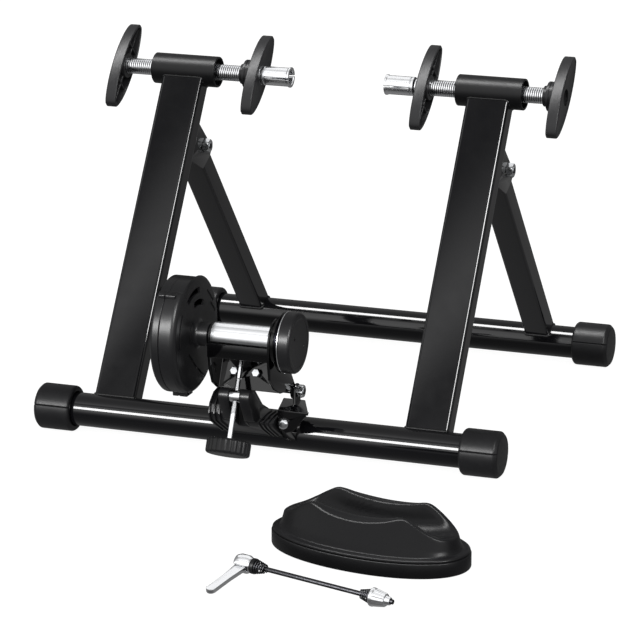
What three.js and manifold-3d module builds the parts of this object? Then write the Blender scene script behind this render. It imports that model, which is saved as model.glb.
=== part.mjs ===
// A wheel-on turbo trainer: a folding A-frame that holds a bicycle by its rear axle, with a magnetic
// roller unit that is screwed against the tyre. A front-wheel riser block and a quick-release skewer
// lie beside it, as they come with it. Millimetres. +X is the rider's right, +Y the way the bicycle
// faces, +Z up. Pieces are placed from the floor and from the middle of the stance, and the finished
// group is then centred on its own footprint.
import * as THREE from 'three';
import Module from 'manifold-3d';
import { mergeVertices } from 'three/addons/utils/BufferGeometryUtils.js';

const wasm = await Module();
wasm.setup();

// Sizes that several pieces share
const gap = 0.3;
const overrun = 1;
const roundSides = 32;
const smallSides = 20;
const hexSides = 6;
const stance = 451.4;
const legX = 185.3;
const legStart = 10;

// The two cross tubes and their rubber feet
const tube = { radius: 19, wall: 1.5, length: 536 };
const footCap = { radius: 26, length: 44, chamfer: 4, socketDepth: 38, mouthChamfer: 2.5 };
const axisHeight = footCap.radius * Math.cos(Math.PI / roundSides);
const mainTube = { y: -stance / 2, z: axisHeight };
const foldTube = { y: stance / 2, z: axisHeight };

// The bicycle's axle line, and the sleeves that carry the clamps on it
const axle = { y: 8, z: 375.6 };
const sleeve = { radius: 18, wall: 2.5, length: 78.4, recess: 8 };

// The legs
const mainLeg = { width: 50, depth: 25, wall: 1.5, corner: 5, footInset: 6.2 };
const foldLeg = { width: 30, depth: 26, wall: 1.5, corner: 4, footOutset: 8.2, pastHinge: 20 };

// The fold hinge: how far its bolt lies down the main leg from the axle, and behind the leg's middle
const hingeFrom = { axle: 73.60, leg: 50.26 };
const hingeBracket = { depth: 62.4, height: 50, plate: 3, legClearance: 1.5 };
const hingeBolt = { radius: 4, headAcross: 15, headThick: 5.3, nutThick: 7 };

// The clamps on the axle line, in stations along X from the middle
const rod = { radius: 9.25, spigotRadius: 5, spigotLength: 7, pitch: 2.5 };
const leftStations = { cupTip: 56.2, lockFace: 91.6, handleFace: 259.8, neckedHandle: false };
const rightStations = { cupTip: 59.5, lockFace: 100, handleFace: 259.8, neckedHandle: true };
const cup = {
  radius: 11, length: 34.5, rimRadius: 12.8, rimLength: 5, socketRadius: 8.2, socketDepth: 22,
  slotWidth: 3, slotLength: 20, collar: 3, grooveRadius: 10,
};
const knob = {
  length: 107, plainLength: 113, width: 36, thick: 13, wall: 2.6, floor: 3.4, bevel: 1.6, endShare: 0.13,
  hubRadius: 17, neckRadius: 11.8, stepLength: 7.5, neckLength: 5, ribThick: 2.2, tilt: 45,
};
const lockInsert = { radius: 11, length: 9 };
const knobPoints = 14;

// The resistance unit: where it swings, its roller and what spins with it
const pivot = { back: 11.5, up: 52.6, boltRadius: 4, headAcross: 13, headThick: 5, nutThick: 6.6 };
const roller = { back: 55.8, up: 71.7, radius: 15, length: 69 };
const shaft = { radius: 5, leftEnd: -73.5, rightEnd: 58 };
const bearing = { radius: 11, thick: 7 };
const flywheel = { radius: 33.5, from: 45.6, faceLength: 4.6, hubRadius: 30, hubLength: 8.5 };
const flywheelCap = { length: 13, wall: 2.8, bevel: 2 };
const brake = {
  radius: 66.5, upperRadius: 62.6, ledgeFront: 53, ledgeBack: 30, outerFace: -84.7, parting: -73.9,
  rimFace: -61, shoulderFace: -58, shoulderRadius: 64.8, face: -55.4, faceRadius: 61,
  domeFace: -53.6, domeRadius: 28, hubRadius: 12.8, neckFace: -38.8, wall: 2.6, bevel: 3,
};
const brakeFoot = { length: 20, drop: 5, width: 16 };
const rotor = { radius: 57, thick: 4, face: -72.3, hubRadius: 9, hubLength: 8 };
const magnets = { radius: 57, thick: 2.5, face: -79, count: 8, magnetRadius: 9, magnetThick: 4, ringRadius: 44 };
const spigot = { radius: 7, length: 5 };

// The yoke that carries them
const yoke = {
  inside: 35, plate: 3, bossRadius: 24.5, leftBossRadius: 14, bossThick: 7, lugRadius: 9.5, webThick: 3,
  lipTop: 145.5, lipBottom: 133, lipFront: 18.5, lipThick: 2.2, shelfBack: 31, apexForward: 44.8, apexUp: 9,
  reach: 80, height: 72,
};
const cheekFrontShares = {
  left: [[-0.86, 0.7], [-0.83, 0.47], [-0.74, 0.26]],
  right: [[-1.01, 0.69], [-0.97, 0.465], [-0.785, 0.257]],
};
const cheekBackShares = [[-0.01, 0.12], [-0.17, 0.37], [-0.36, 0.715]];
const webBolt = { radius: 2.5, headAcross: 8, headThick: 4, length: 9, leftX: -18.5, rightX: 7, up: 18 };

// The adjuster that presses the unit against the tyre
const adjuster = { x: -7.8, back: 73.3, up: 59.1, tilt: 25, rodRadius: 3, padRadius: 4.6, padThick: 3.2 };
const trunnion = { radius: 7, width: 12.2, pinRadius: 3, pinLength: 8 };
const adjusterKnob = { radius: 24.5, thick: 17.5, flutes: 12, fluteRadius: 4.5, fluteShare: 1.1, below: 57 };

// The base on the main tube
const casting = {
  left: -43.7, right: -1, low: 28, earThick: 11.5, earRadius: 8.5, saddleThick: 4.5, pivotEar: 5,
  depth: 76, height: 58,
};
const pivotBracket = {
  left: 20, right: 42, plate: 3, topUp: 39, frontBack: 45.3, farWidth: 26, nearWidth: 36, flare: 20,
  earRadius: 8.5,
};
const clampBolt = { radius: 3, headRadius: 6, headThick: 4, length: 18 };

// The front-wheel riser block
const block = {
  x: 218.3, y: -503.9, turn: -10.3, length: 222, width: 121, baseHeight: 19, grooveHeight: 16, groove: 1.2, inset: 9,
  bevel: 3, power: 2.1, topLength: 0.838, topWidth: 0.595, endHeight: 35, endLength: 0.793, slopeHeight: 42,
  slopeLength: 0.685, ridgeHeight: 54, ridgeLength: 0.468, dip: 6.2,
};
const frontWheel = { radius: 340, tyreRadius: 22, floorHeight: 22 };
const outlinePoints = 40;

// The quick-release skewer
const skewer = {
  x: 125.6, y: -619.6, z: 17, turn: -11, dip: 2.7, roll: 14.2, rodRadius: 2.5, length: 168, seatRadius: 9, seatLength: 18,
  camRadius: 9.5, washerRadius: 8, washerThick: 4, nutRadius: 9.5, nutLength: 17, coneRadius: 5, coneLength: 5, slotClearance: 0.9,
};
const lever = { length: 57, width: 9, tipWidth: 10.5, thick: 5, bossRadius: 6.5, bend: 7 };
const spring = { wireRadius: 0.6, bigRadius: 7, smallRadius: 4.2, length: 12, curls: 5, steps: 8, sides: 5 };

// Finishes
const finish = (color, roughness, metalness) => new THREE.MeshStandardMaterial({ color, roughness, metalness });
const glossBlack = finish(0x0c0c0d, 0.22, 0.25);
const satinPlastic = finish(0x1a1a1b, 0.5, 0);
const glossPlastic = finish(0x121213, 0.32, 0);
const rubber = finish(0x171717, 0.75, 0);
const chrome = finish(0xd4d6d8, 0.14, 1);
const zinc = finish(0xb9bcc0, 0.34, 1);
const aluminium = finish(0xaeb1b5, 0.4, 1);
const sheetBlack = finish(0x161617, 0.38, 0.3);

const degrees = Math.PI / 180;
const mergeStep = 1e-4;

// Closed solids, and the joins and cuts between them
function signedVolume(geometry) {
  const at = geometry.getAttribute('position');
  const corner = [new THREE.Vector3(), new THREE.Vector3(), new THREE.Vector3()];
  let sum = 0;
  for (let i = 0; i < geometry.index.count; i += 3) {
    corner.forEach((point, k) => point.fromBufferAttribute(at, geometry.index.getX(i + k)));
    sum += corner[0].dot(corner[1].cross(corner[2]));
  }
  return sum;
}

function closed(geometry) {
  const plain = new THREE.BufferGeometry();
  const loose = geometry.index ? geometry.toNonIndexed() : geometry;
  plain.setAttribute('position', loose.getAttribute('position'));
  const merged = mergeVertices(plain, mergeStep);
  if (signedVolume(merged) < 0) merged.setIndex([...merged.index.array].reverse());
  return merged;
}

function toSolid(geometry) {
  const merged = closed(geometry);
  const vertProperties = new Float32Array(merged.getAttribute('position').array);
  const triVerts = new Uint32Array(merged.index.array);
  return new wasm.Manifold(new wasm.Mesh({ numProp: 3, vertProperties, triVerts }));
}

function toGeometry(solid) {
  const mesh = solid.getMesh();
  const geometry = new THREE.BufferGeometry();
  geometry.setAttribute('position', new THREE.BufferAttribute(mesh.vertProperties, 3));
  geometry.setIndex(new THREE.BufferAttribute(mesh.triVerts, 1));
  return geometry;
}

function join(first, ...others) {
  return toGeometry(others.reduce((sum, other) => sum.add(toSolid(other)), toSolid(first)));
}

function cut(first, ...others) {
  return toGeometry(others.reduce((rest, other) => rest.subtract(toSolid(other)), toSolid(first)));
}

function common(first, ...others) {
  return toGeometry(others.reduce((rest, other) => rest.intersect(toSolid(other)), toSolid(first)));
}

// Turned about the X axis: the profile is a list of [radius, x]
function turned(profile, sides = roundSides) {
  const points = profile.map(([radius, x]) => new THREE.Vector2(radius, x));
  const geometry = new THREE.LatheGeometry(points, sides, Math.PI / sides);
  return geometry.rotateZ(-Math.PI / 2);
}

function ring(outer, inner, from, to, sides = roundSides) {
  return turned([[inner, from], [outer, from], [outer, to], [inner, to], [inner, from]], sides);
}

function bar(radius, from, to, sides = roundSides) {
  return turned([[0, from], [radius, from], [radius, to], [0, to]], sides);
}

// A hexagon across flats, along X
function hex(across, from, to) {
  return bar(across / 2 / Math.cos(Math.PI / hexSides), from, to, hexSides);
}

const toShape = (points) => new THREE.Shape(points.map(([a, b]) => new THREE.Vector2(a, b)));

// A [y, z] outline drawn out along X, with a bevel kept inside its two faces
function plateX(points, from, to, bevel = 0) {
  const shape = points.isShape ? points : toShape(points);
  const geometry = new THREE.ExtrudeGeometry(shape, {
    depth: to - from - 2 * bevel,
    bevelEnabled: bevel > 0, bevelThickness: bevel, bevelSize: bevel, bevelOffset: -bevel, bevelSegments: 1,
    curveSegments: 3,
  });
  geometry.translate(0, 0, from + bevel);
  const across = [new THREE.Vector3(0, 1, 0), new THREE.Vector3(0, 0, 1), new THREE.Vector3(1, 0, 0)];
  return geometry.applyMatrix4(new THREE.Matrix4().makeBasis(...across));
}

// An [x, y] outline drawn up along Z
function plateZ(points, from, to, bevel = 0) {
  const geometry = new THREE.ExtrudeGeometry(toShape(points), {
    depth: to - from - bevel,
    bevelEnabled: bevel > 0, bevelThickness: bevel, bevelSize: bevel, bevelOffset: -bevel, bevelSegments: 1,
  });
  return geometry.translate(0, 0, from);
}

// An [x, z] outline drawn along Y
function plateY(points, from, to) {
  const geometry = new THREE.ExtrudeGeometry(toShape(points), { depth: to - from, bevelEnabled: false });
  return geometry.rotateX(Math.PI / 2).translate(0, to, 0);
}

function boxFrom(x0, x1, y0, y1, z0, z1) {
  const geometry = new THREE.BoxGeometry(x1 - x0, y1 - y0, z1 - z0);
  return geometry.translate((x0 + x1) / 2, (y0 + y1) / 2, (z0 + z1) / 2);
}

// Points of an arc about [a, b], angles in degrees
function arc(a, b, radius, from, to, steps) {
  return Array.from({ length: steps + 1 }, (_, i) => {
    const angle = (from + ((to - from) * i) / steps) * degrees;
    return [a + radius * Math.cos(angle), b + radius * Math.sin(angle)];
  });
}

function part(name, geometry, material) {
  const mesh = new THREE.Mesh(closed(geometry), material);
  mesh.geometry.computeVertexNormals();
  mesh.name = name;
  return mesh;
}

const trainer = new THREE.Group();

// Cross tubes, open at both ends under their feet
function crossTube(name, line) {
  const mesh = part(name, ring(tube.radius, tube.radius - tube.wall, -tube.length / 2, tube.length / 2), glossBlack);
  mesh.position.set(0, line.y, line.z);
  trainer.add(mesh);
}

function foot(name, line, side) {
  const end = footCap.length;
  const socket = tube.radius + gap;
  const geometry = turned([
    [0, end], [footCap.radius - footCap.chamfer, end], [footCap.radius, end - footCap.chamfer],
    [footCap.radius, footCap.mouthChamfer], [footCap.radius - footCap.mouthChamfer, 0], [socket, 0],
    [socket, footCap.socketDepth], [0, footCap.socketDepth],
  ]);
  const mesh = part(name, geometry, rubber);
  const mouth = tube.length / 2 + gap - footCap.socketDepth;
  mesh.position.set(side * mouth, line.y, line.z);
  mesh.rotation.z = side < 0 ? Math.PI : 0;
  trainer.add(mesh);
}

crossTube('main_cross_tube', mainTube);
crossTube('fold_cross_tube', foldTube);
foot('main_left_foot_cap', mainTube, -1);
foot('main_right_foot_cap', mainTube, 1);
foot('fold_left_foot_cap', foldTube, -1);
foot('fold_right_foot_cap', foldTube, 1);

// Legs of rectangular tube, coped round what they are welded to
function roundedOutline(width, depth, corner) {
  const a = width / 2 - corner;
  const b = depth / 2 - corner;
  const shape = new THREE.Shape();
  shape.absarc(a, b, corner, 0, 90 * degrees);
  shape.absarc(-a, b, corner, 90 * degrees, 180 * degrees);
  shape.absarc(-a, -b, corner, 180 * degrees, 270 * degrees);
  shape.absarc(a, -b, corner, 270 * degrees, 360 * degrees);
  return shape;
}

const legAngle = (low, high) => Math.atan2(high.y - low.y, high.z - low.z);

function legTube(size, low, high) {
  const shape = roundedOutline(size.width, size.depth, size.corner);
  const { width, depth, wall, corner } = size;
  shape.holes.push(roundedOutline(width - 2 * wall, depth - 2 * wall, corner - wall));
  const length = Math.hypot(high.y - low.y, high.z - low.z) - legStart;
  const geometry = new THREE.ExtrudeGeometry(shape, { depth: length, bevelEnabled: false, curveSegments: 3 });
  geometry.translate(0, 0, legStart);
  return geometry.rotateX(-legAngle(low, high)).translate(0, low.y, low.z);
}

const alongX = (radius, line, half) => bar(radius, -half, half).translate(0, line.y, line.z);

const mainFootLine = { y: mainTube.y + mainLeg.footInset, z: mainTube.z };
const foldFootLine = { y: foldTube.y + foldLeg.footOutset, z: foldTube.z };
const mainLean = legAngle(mainFootLine, axle);
const hinge = {
  y: axle.y - hingeFrom.axle * Math.sin(mainLean) + hingeFrom.leg * Math.cos(mainLean),
  z: axle.z - hingeFrom.axle * Math.cos(mainLean) - hingeFrom.leg * Math.sin(mainLean),
};
const foldLean = legAngle(foldFootLine, hinge);
const foldTop = {
  y: hinge.y + foldLeg.pastHinge * Math.sin(foldLean),
  z: hinge.z + foldLeg.pastHinge * Math.cos(foldLean),
};

function mainLegGeometry() {
  const half = mainLeg.width;
  return cut(
    legTube(mainLeg, mainFootLine, axle),
    alongX(sleeve.radius + gap, axle, half),
    alongX(tube.radius + gap, mainTube, half),
  );
}

function foldLegGeometry() {
  const half = foldLeg.width;
  return cut(
    legTube(foldLeg, foldFootLine, foldTop),
    alongX(tube.radius + gap, foldTube, half),
    bar(hingeBolt.radius + gap, -half, half, smallSides).translate(0, hinge.y, hinge.z),
  );
}

for (const [name, side] of [['left', -1], ['right', 1]]) {
  for (const [kind, geometry] of [['main', mainLegGeometry()], ['fold', foldLegGeometry()]]) {
    const leg = part(`${name}_${kind}_leg`, geometry, glossBlack);
    leg.position.x = side * legX;
    trainer.add(leg);
  }
}

// Axle sleeves, each with a threaded bush pressed in
for (const [name, side] of [['left', -1], ['right', 1]]) {
  const inside = sleeve.radius - sleeve.wall;
  const half = sleeve.length / 2;
  const shell = part(`${name}_axle_sleeve`, ring(sleeve.radius, inside, -half, half), glossBlack);
  const bushHalf = half - sleeve.recess;
  const bush = part(`${name}_thread_bush`, ring(inside - gap, rod.radius + gap, -bushHalf, bushHalf), zinc);
  for (const mesh of [shell, bush]) {
    mesh.position.set(side * legX, axle.y, axle.z);
    trainer.add(mesh);
  }
}

// Hinge brackets: a folded channel on the back of each main leg, drawn in the leg's own frame,
// where the first number runs away from the leg and the second up along it from the hinge bolt
const bracketNoseShares = [[0.667, 0.226], [1, 0.068], [0.981, -0.08], [0.788, -0.498]];
const bracketRootShares = [0.364, -0.634];

const hingeOffset = hingeFrom.leg - mainLeg.depth / 2;

function bracketGeometry() {
  const { depth, height, plate } = hingeBracket;
  const back = gap - hingeOffset;
  const root = bracketRootShares.map((share) => share * height);
  const nose = bracketNoseShares.map(([away, up]) => [away * depth - hingeOffset, up * height]);
  const cheek = [[back, root[0]], ...nose, [back, root[1]]];
  const inner = foldLeg.width / 2 + hingeBracket.legClearance;
  const outer = inner + plate;
  const web = [[back, root[0]], [back + plate, root[0]], [back + plate, root[1]], [back, root[1]]];
  const hole = bar(hingeBolt.radius + gap, -outer - overrun, outer + overrun, smallSides);
  return cut(join(plateX(cheek, -outer, -inner), plateX(cheek, inner, outer), plateX(web, -outer, outer)), hole);
}

for (const [name, side] of [['left', -1], ['right', 1]]) {
  const group = new THREE.Group();
  group.position.set(side * legX, hinge.y, hinge.z);
  group.rotation.x = -mainLean;
  const cheekFace = foldLeg.width / 2 + hingeBracket.legClearance + hingeBracket.plate + gap;
  const tip = cheekFace + hingeBolt.nutThick + overrun;
  const head = hex(hingeBolt.headAcross, -cheekFace - hingeBolt.headThick, -cheekFace);
  const shank = bar(hingeBolt.radius, -cheekFace - overrun, tip, smallSides);
  const nutBore = bar(hingeBolt.radius + gap, cheekFace - overrun, tip, smallSides);
  const nut = hex(hingeBolt.headAcross, cheekFace, cheekFace + hingeBolt.nutThick);
  group.add(part(`${name}_hinge_bracket`, bracketGeometry(), glossBlack));
  group.add(part(`${name}_hinge_bolt`, join(head, shank), chrome));
  group.add(part(`${name}_hinge_nut`, cut(nut, nutBore), chrome));
  trainer.add(group);
}

// Eye-shaped clamp knobs: hollow behind, with a hub and ribs, and a stepped neck on one pattern
const lensPower = 1.35;

function lens(halfLength, halfWidth) {
  const flat = halfWidth * knob.endShare;
  const side = Array.from({ length: knobPoints + 1 }, (_, i) => {
    const angle = (Math.PI * i) / knobPoints;
    const width = flat + (halfWidth - flat) * Math.sin(angle) ** lensPower;
    return [width, -halfLength * Math.cos(angle)];
  });
  return [...side, ...side.map(([width, along]) => [-width, -along])];
}

// The knob's closed face looks along -X and lies at x = 0; the neck, if any, runs along +X
function knobGeometry(necked, boreRadius, boreFrom) {
  const { width, thick, wall, floor } = knob;
  const length = necked ? knob.length : knob.plainLength;
  const shell = plateX(lens(length / 2, width / 2), 0, thick, knob.bevel);
  const pocket = plateX(lens(length / 2 - 2 * wall, width / 2 - wall), floor, thick + overrun);
  const rib = boxFrom(overrun, thick - knob.bevel, -knob.ribThick / 2, knob.ribThick / 2,
    -length / 2 + wall, length / 2 - wall);
  const top = thick + (necked ? knob.stepLength + knob.neckLength : 0);
  const hub = necked
    ? turned([[0, overrun], [knob.hubRadius, overrun], [knob.hubRadius, thick + knob.stepLength],
      [knob.neckRadius, thick + knob.stepLength], [knob.neckRadius, top], [0, top]], smallSides)
    : bar(knob.hubRadius - knob.wall, overrun, thick, smallSides);
  return cut(join(cut(shell, pocket), rib, hub), bar(boreRadius, boreFrom, top + overrun, smallSides));
}

// The lock knob is bored right through, and its insert sits in a wider bore behind the face
function lockKnobGeometry(necked) {
  const body = knobGeometry(necked, rod.radius + 2 * gap, -overrun);
  return cut(body, bar(lockInsert.radius + gap, -overrun, lockInsert.length + gap, smallSides));
}

function cupGeometry() {
  const { radius, length, rimRadius, rimLength, socketRadius, socketDepth, slotWidth, slotLength } = cup;
  const { collar, grooveRadius } = cup;
  const body = turned([
    [0, 0], [radius, 0], [radius, collar], [grooveRadius, collar], [grooveRadius, collar + overrun],
    [radius, collar + overrun], [radius, length - rimLength], [rimRadius, length - rimLength / 2], [rimRadius, length],
    [socketRadius, length], [socketRadius, length - socketDepth], [0, length - socketDepth],
  ], 24);
  const bore = bar(rod.spigotRadius + gap, -overrun, rod.spigotLength + gap, smallSides);
  const slotFrom = length - slotLength;
  const slot = boxFrom(slotFrom, length + overrun, -rimRadius - overrun, rimRadius + overrun,
    -slotWidth / 2, slotWidth / 2);
  return cut(body, bore, slot);
}

function rodGeometry(length) {
  return turned([
    [0, -rod.spigotLength], [rod.spigotRadius, -rod.spigotLength], [rod.spigotRadius, 0],
    [rod.radius, 0], [rod.radius, length], [0, length],
  ], 24);
}

// One clamp, drawn from the middle of the trainer outwards along +X and turned round for the left.
// Only one knob of each clamp has the stepped neck: the lock knob on the left, the handle on the right.
function addClamp(name, side, stations) {
  const group = new THREE.Group();
  group.position.set(0, axle.y, axle.z);
  group.rotation.z = side < 0 ? Math.PI : 0;
  const cupMesh = part(`${name}_axle_cup`, cupGeometry(), chrome);
  cupMesh.position.x = stations.cupTip + cup.length;
  cupMesh.rotation.y = Math.PI;
  const rodFrom = cupMesh.position.x + gap;
  const handleBack = stations.handleFace + knob.thick;
  const rodLength = handleBack - knob.floor - gap - rodFrom;
  const rodMesh = part(`${name}_threaded_rod`, rodGeometry(rodLength), chrome);
  rodMesh.position.x = rodFrom;
  const knobTurn = -side * knob.tilt * degrees;
  const handle = part(`${name}_handle_knob`, knobGeometry(stations.neckedHandle, rod.radius + gap, knob.floor),
    satinPlastic);
  handle.rotation.y = Math.PI;
  const handleGroup = new THREE.Group();
  handleGroup.position.x = handleBack;
  handleGroup.rotation.x = knobTurn;
  handleGroup.add(handle);
  const lock = part(`${name}_lock_knob`, lockKnobGeometry(!stations.neckedHandle), satinPlastic);
  lock.position.x = stations.lockFace;
  lock.rotation.x = knobTurn;
  const insertRing = ring(lockInsert.radius, rod.radius + gap, 0, lockInsert.length);
  const insertMesh = part(`${name}_lock_insert`, insertRing, zinc);
  insertMesh.position.x = stations.lockFace;
  group.add(cupMesh, rodMesh, handleGroup, lock, insertMesh);
  trainer.add(group);
}

addClamp('left', -1, leftStations);
addClamp('right', 1, rightStations);

// The roller's axis and the pivot, seen from the side
const pivotLine = { y: mainTube.y - pivot.back, z: mainTube.z + pivot.up };
const rollerLine = { y: pivotLine.y - roller.back, z: pivotLine.z + roller.up };

function addOnRollerLine(...meshes) {
  const group = new THREE.Group();
  group.position.set(0, rollerLine.y, rollerLine.z);
  group.add(...meshes);
  trainer.add(group);
}

const shaftBore = shaft.radius + gap;
const bossFace = yoke.inside + gap;
const bossOuter = bossFace + yoke.bossThick;
const leftBearingFrom = brake.neckFace - bearing.thick - gap;

addOnRollerLine(
  part('roller', ring(roller.radius, shaftBore, -roller.length / 2, roller.length / 2), chrome),
  part('roller_shaft', bar(shaft.radius, shaft.leftEnd, shaft.rightEnd, smallSides), zinc),
  part('left_bearing', ring(bearing.radius, shaftBore, leftBearingFrom, leftBearingFrom + bearing.thick, 24), zinc),
  part('right_bearing', ring(bearing.radius, shaftBore, bossOuter - bearing.thick, bossOuter, 24), zinc),
);

// Flywheel with its bright edge, and the plastic cap over it
function flywheelGeometry() {
  const { radius, from, faceLength, hubRadius, hubLength } = flywheel;
  return turned([
    [shaftBore, from], [radius, from], [radius, from + faceLength], [hubRadius, from + faceLength],
    [hubRadius, from + faceLength + hubLength], [shaftBore, from + faceLength + hubLength], [shaftBore, from],
  ]);
}

function flywheelCapGeometry() {
  const from = flywheel.from + flywheel.faceLength + gap;
  const to = from + flywheelCap.length;
  const inner = flywheel.hubRadius + gap;
  return turned([
    [0, to - flywheelCap.wall], [inner, to - flywheelCap.wall], [inner, from], [flywheel.radius, from],
    [flywheel.radius, to - flywheelCap.bevel], [flywheel.radius - flywheelCap.bevel, to], [0, to],
  ]);
}

addOnRollerLine(
  part('flywheel', flywheelGeometry(), chrome),
  part('flywheel_cap', flywheelCapGeometry(), satinPlastic),
);

// Brake housing: two shells that meet at the parting line, with the rotor and the magnets inside.
// Above a ledge on each side the rim steps in.
function ledgeCut() {
  const { radius, upperRadius, ledgeFront, ledgeBack, outerFace, shoulderFace } = brake;
  const steps = 16;
  const outline = [
    ...arc(0, 0, 2 * radius, ledgeBack, 180 - ledgeFront, steps),
    ...arc(0, 0, upperRadius, 180 - ledgeFront, ledgeBack, steps),
  ];
  return plateX(outline, outerFace - overrun, shoulderFace + overrun);
}

function brakeFootFrom(from, to) {
  const half = brakeFoot.width / 2;
  return boxFrom(from, to, -half, half, -brake.radius - brakeFoot.drop, -brake.upperRadius);
}

function innerCoverGeometry() {
  const { radius, upperRadius, parting, rimFace, shoulderFace, shoulderRadius, face, faceRadius } = brake;
  const { domeFace, domeRadius, hubRadius, neckFace, wall } = brake;
  const inner = upperRadius - wall;
  const shell = turned([
    [shaftBore + overrun, neckFace], [hubRadius, neckFace], [hubRadius, domeFace], [domeRadius, domeFace],
    [faceRadius, face], [shoulderRadius, shoulderFace], [radius, rimFace], [radius, parting], [inner, parting],
    [inner, face - wall], [domeRadius, domeFace - wall], [hubRadius, domeFace - wall],
    [shaftBore + overrun, domeFace - wall], [shaftBore + overrun, neckFace],
  ]);
  const bore = bar(bearing.radius + gap, leftBearingFrom - gap, neckFace + overrun, 24);
  return cut(join(shell, brakeFootFrom(parting, parting + brakeFoot.length / 2)), ledgeCut(), bore);
}

function outerCoverGeometry() {
  const { radius, upperRadius, outerFace, parting, wall, bevel } = brake;
  const edge = parting - gap;
  const inner = upperRadius - wall;
  const shell = turned([
    [0, outerFace], [radius - bevel, outerFace], [radius, outerFace + bevel], [radius, edge], [inner, edge],
    [inner, outerFace + wall], [spigot.radius, outerFace + wall],
    [spigot.radius, outerFace + wall + spigot.length], [0, outerFace + wall + spigot.length],
  ]);
  return cut(join(shell, brakeFootFrom(outerFace + bevel, edge)), ledgeCut());
}

function rotorGeometry() {
  const { radius, thick, face, hubRadius, hubLength } = rotor;
  return turned([
    [shaftBore, face], [radius, face], [radius, face + thick], [hubRadius, face + thick],
    [hubRadius, face + hubLength], [shaftBore, face + hubLength], [shaftBore, face],
  ]);
}

function magnetPlateGeometry() {
  const { radius, thick, face, count, magnetRadius, magnetThick, ringRadius } = magnets;
  const pieces = Array.from({ length: count }, (_, i) => {
    const angle = (2 * Math.PI * i) / count;
    const disc = bar(magnetRadius, face - overrun, face + magnetThick, 12);
    return disc.translate(0, ringRadius * Math.cos(angle), ringRadius * Math.sin(angle));
  });
  return join(ring(radius, spigot.radius + gap, face - thick, face, 24), ...pieces);
}

addOnRollerLine(
  part('brake_inner_cover', innerCoverGeometry(), glossPlastic),
  part('brake_outer_cover', outerCoverGeometry(), glossPlastic),
  part('brake_rotor', rotorGeometry(), aluminium),
  part('magnet_plate', magnetPlateGeometry(), zinc),
);

// The yoke, drawn from the pivot: first number forwards (+Y), second up
const bossForward = -roller.back;
const bossUp = roller.up;

function cheekOutline(bossRadius, frontShares) {
  const { lugRadius, apexForward, apexUp, reach, height } = yoke;
  const fromYokeShares = (shares) => shares.map(([y, z]) => [y * reach, z * height]);
  return [
    ...arc(bossForward, bossUp, bossRadius, 0, 180, 14),
    ...fromYokeShares(frontShares),
    [-apexForward, apexUp],
    ...arc(0, 0, lugRadius, 160, 360, 8),
    ...fromYokeShares(cheekBackShares),
  ];
}

function yokeGeometry() {
  const { inside, plate, bossRadius, leftBossRadius, webThick } = yoke;
  const { lipTop, lipBottom, lipFront, lipThick, shelfBack, apexForward, apexUp } = yoke;
  const left = plateX(cheekOutline(leftBossRadius, cheekFrontShares.left), -inside - plate, -inside);
  const right = plateX(cheekOutline(bossRadius, cheekFrontShares.right), bossFace, bossFace + plate);
  const boss = bar(bossRadius, bossFace, bossOuter).translate(0, bossForward, bossUp);
  const shelfTop = lipBottom - pivotLine.z;
  const front = bossForward - lipFront;
  const back = bossForward + shelfBack;
  const shelf = [
    [front, shelfTop - webThick], [front, lipTop - pivotLine.z], [front + lipThick, lipTop - pivotLine.z],
    [front + lipThick, shelfTop], [back, shelfTop - webThick], [-apexForward + webThick, apexUp],
    [-apexForward, apexUp], [back - webThick, shelfTop - 2 * webThick],
  ];
  const web = plateX(shelf, -inside - plate / 2, bossFace + plate / 2);
  const across = inside + bossOuter;
  const rollerWay = bar(roller.radius + overrun, -inside, bossFace - gap).translate(0, bossForward, bossUp);
  const bores = [
    bar(shaftBore + overrun, -across, across, smallSides).translate(0, bossForward, bossUp),
    bar(bearing.radius + gap, bossFace - overrun, across, 24).translate(0, bossForward, bossUp),
    bar(pivot.boltRadius + gap, -across, across, smallSides),
    ...webBoltPlaces().map(([x, y, z, tilt]) => webHole().rotateX(tilt).translate(x, y, z)),
  ];
  return cut(join(left, right, boss, web), rollerWay, ...bores);
}

// The two bolts through the web, square to it
function webLean() {
  const top = [bossForward + yoke.shelfBack - yoke.webThick, yoke.lipBottom - pivotLine.z - 2 * yoke.webThick];
  return Math.atan2(top[0] + yoke.apexForward, top[1] - yoke.apexUp);
}

function webBoltPlaces() {
  const lean = webLean();
  const { up } = webBolt;
  const y = -yoke.apexForward + up * Math.tan(lean);
  return [webBolt.leftX, webBolt.rightX].map((x) => [x, y, yoke.apexUp + up, -lean]);
}

const toY = (geometry) => geometry.rotateZ(Math.PI / 2);
const webHole = () => toY(bar(webBolt.radius + gap, -webBolt.length, webBolt.length, 12));

function webBoltGeometry() {
  const head = toY(hex(webBolt.headAcross, -webBolt.headThick - gap, -gap));
  const shank = toY(bar(webBolt.radius, -gap - overrun, webBolt.length, 12));
  return join(head, shank);
}

const unit = new THREE.Group();
unit.position.set(0, pivotLine.y, pivotLine.z);
unit.add(part('yoke', yokeGeometry(), sheetBlack));
['left_web_bolt', 'right_web_bolt'].forEach((name, i) => {
  const [x, y, z, tilt] = webBoltPlaces()[i];
  const bolt = part(name, webBoltGeometry(), chrome);
  bolt.position.set(x, y, z);
  bolt.rotation.x = tilt;
  unit.add(bolt);
});

// The long pivot bolt through both ears and both cheeks
const leftEarFace = casting.left - gap;
const rightEarFace = bossFace + yoke.plate + gap + pivotBracket.plate + gap;

function pivotBoltGeometry() {
  const head = hex(pivot.headAcross, leftEarFace - pivot.headThick, leftEarFace);
  const shank = bar(pivot.boltRadius, leftEarFace - overrun, rightEarFace + pivot.nutThick + overrun, smallSides);
  return join(head, shank);
}

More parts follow.
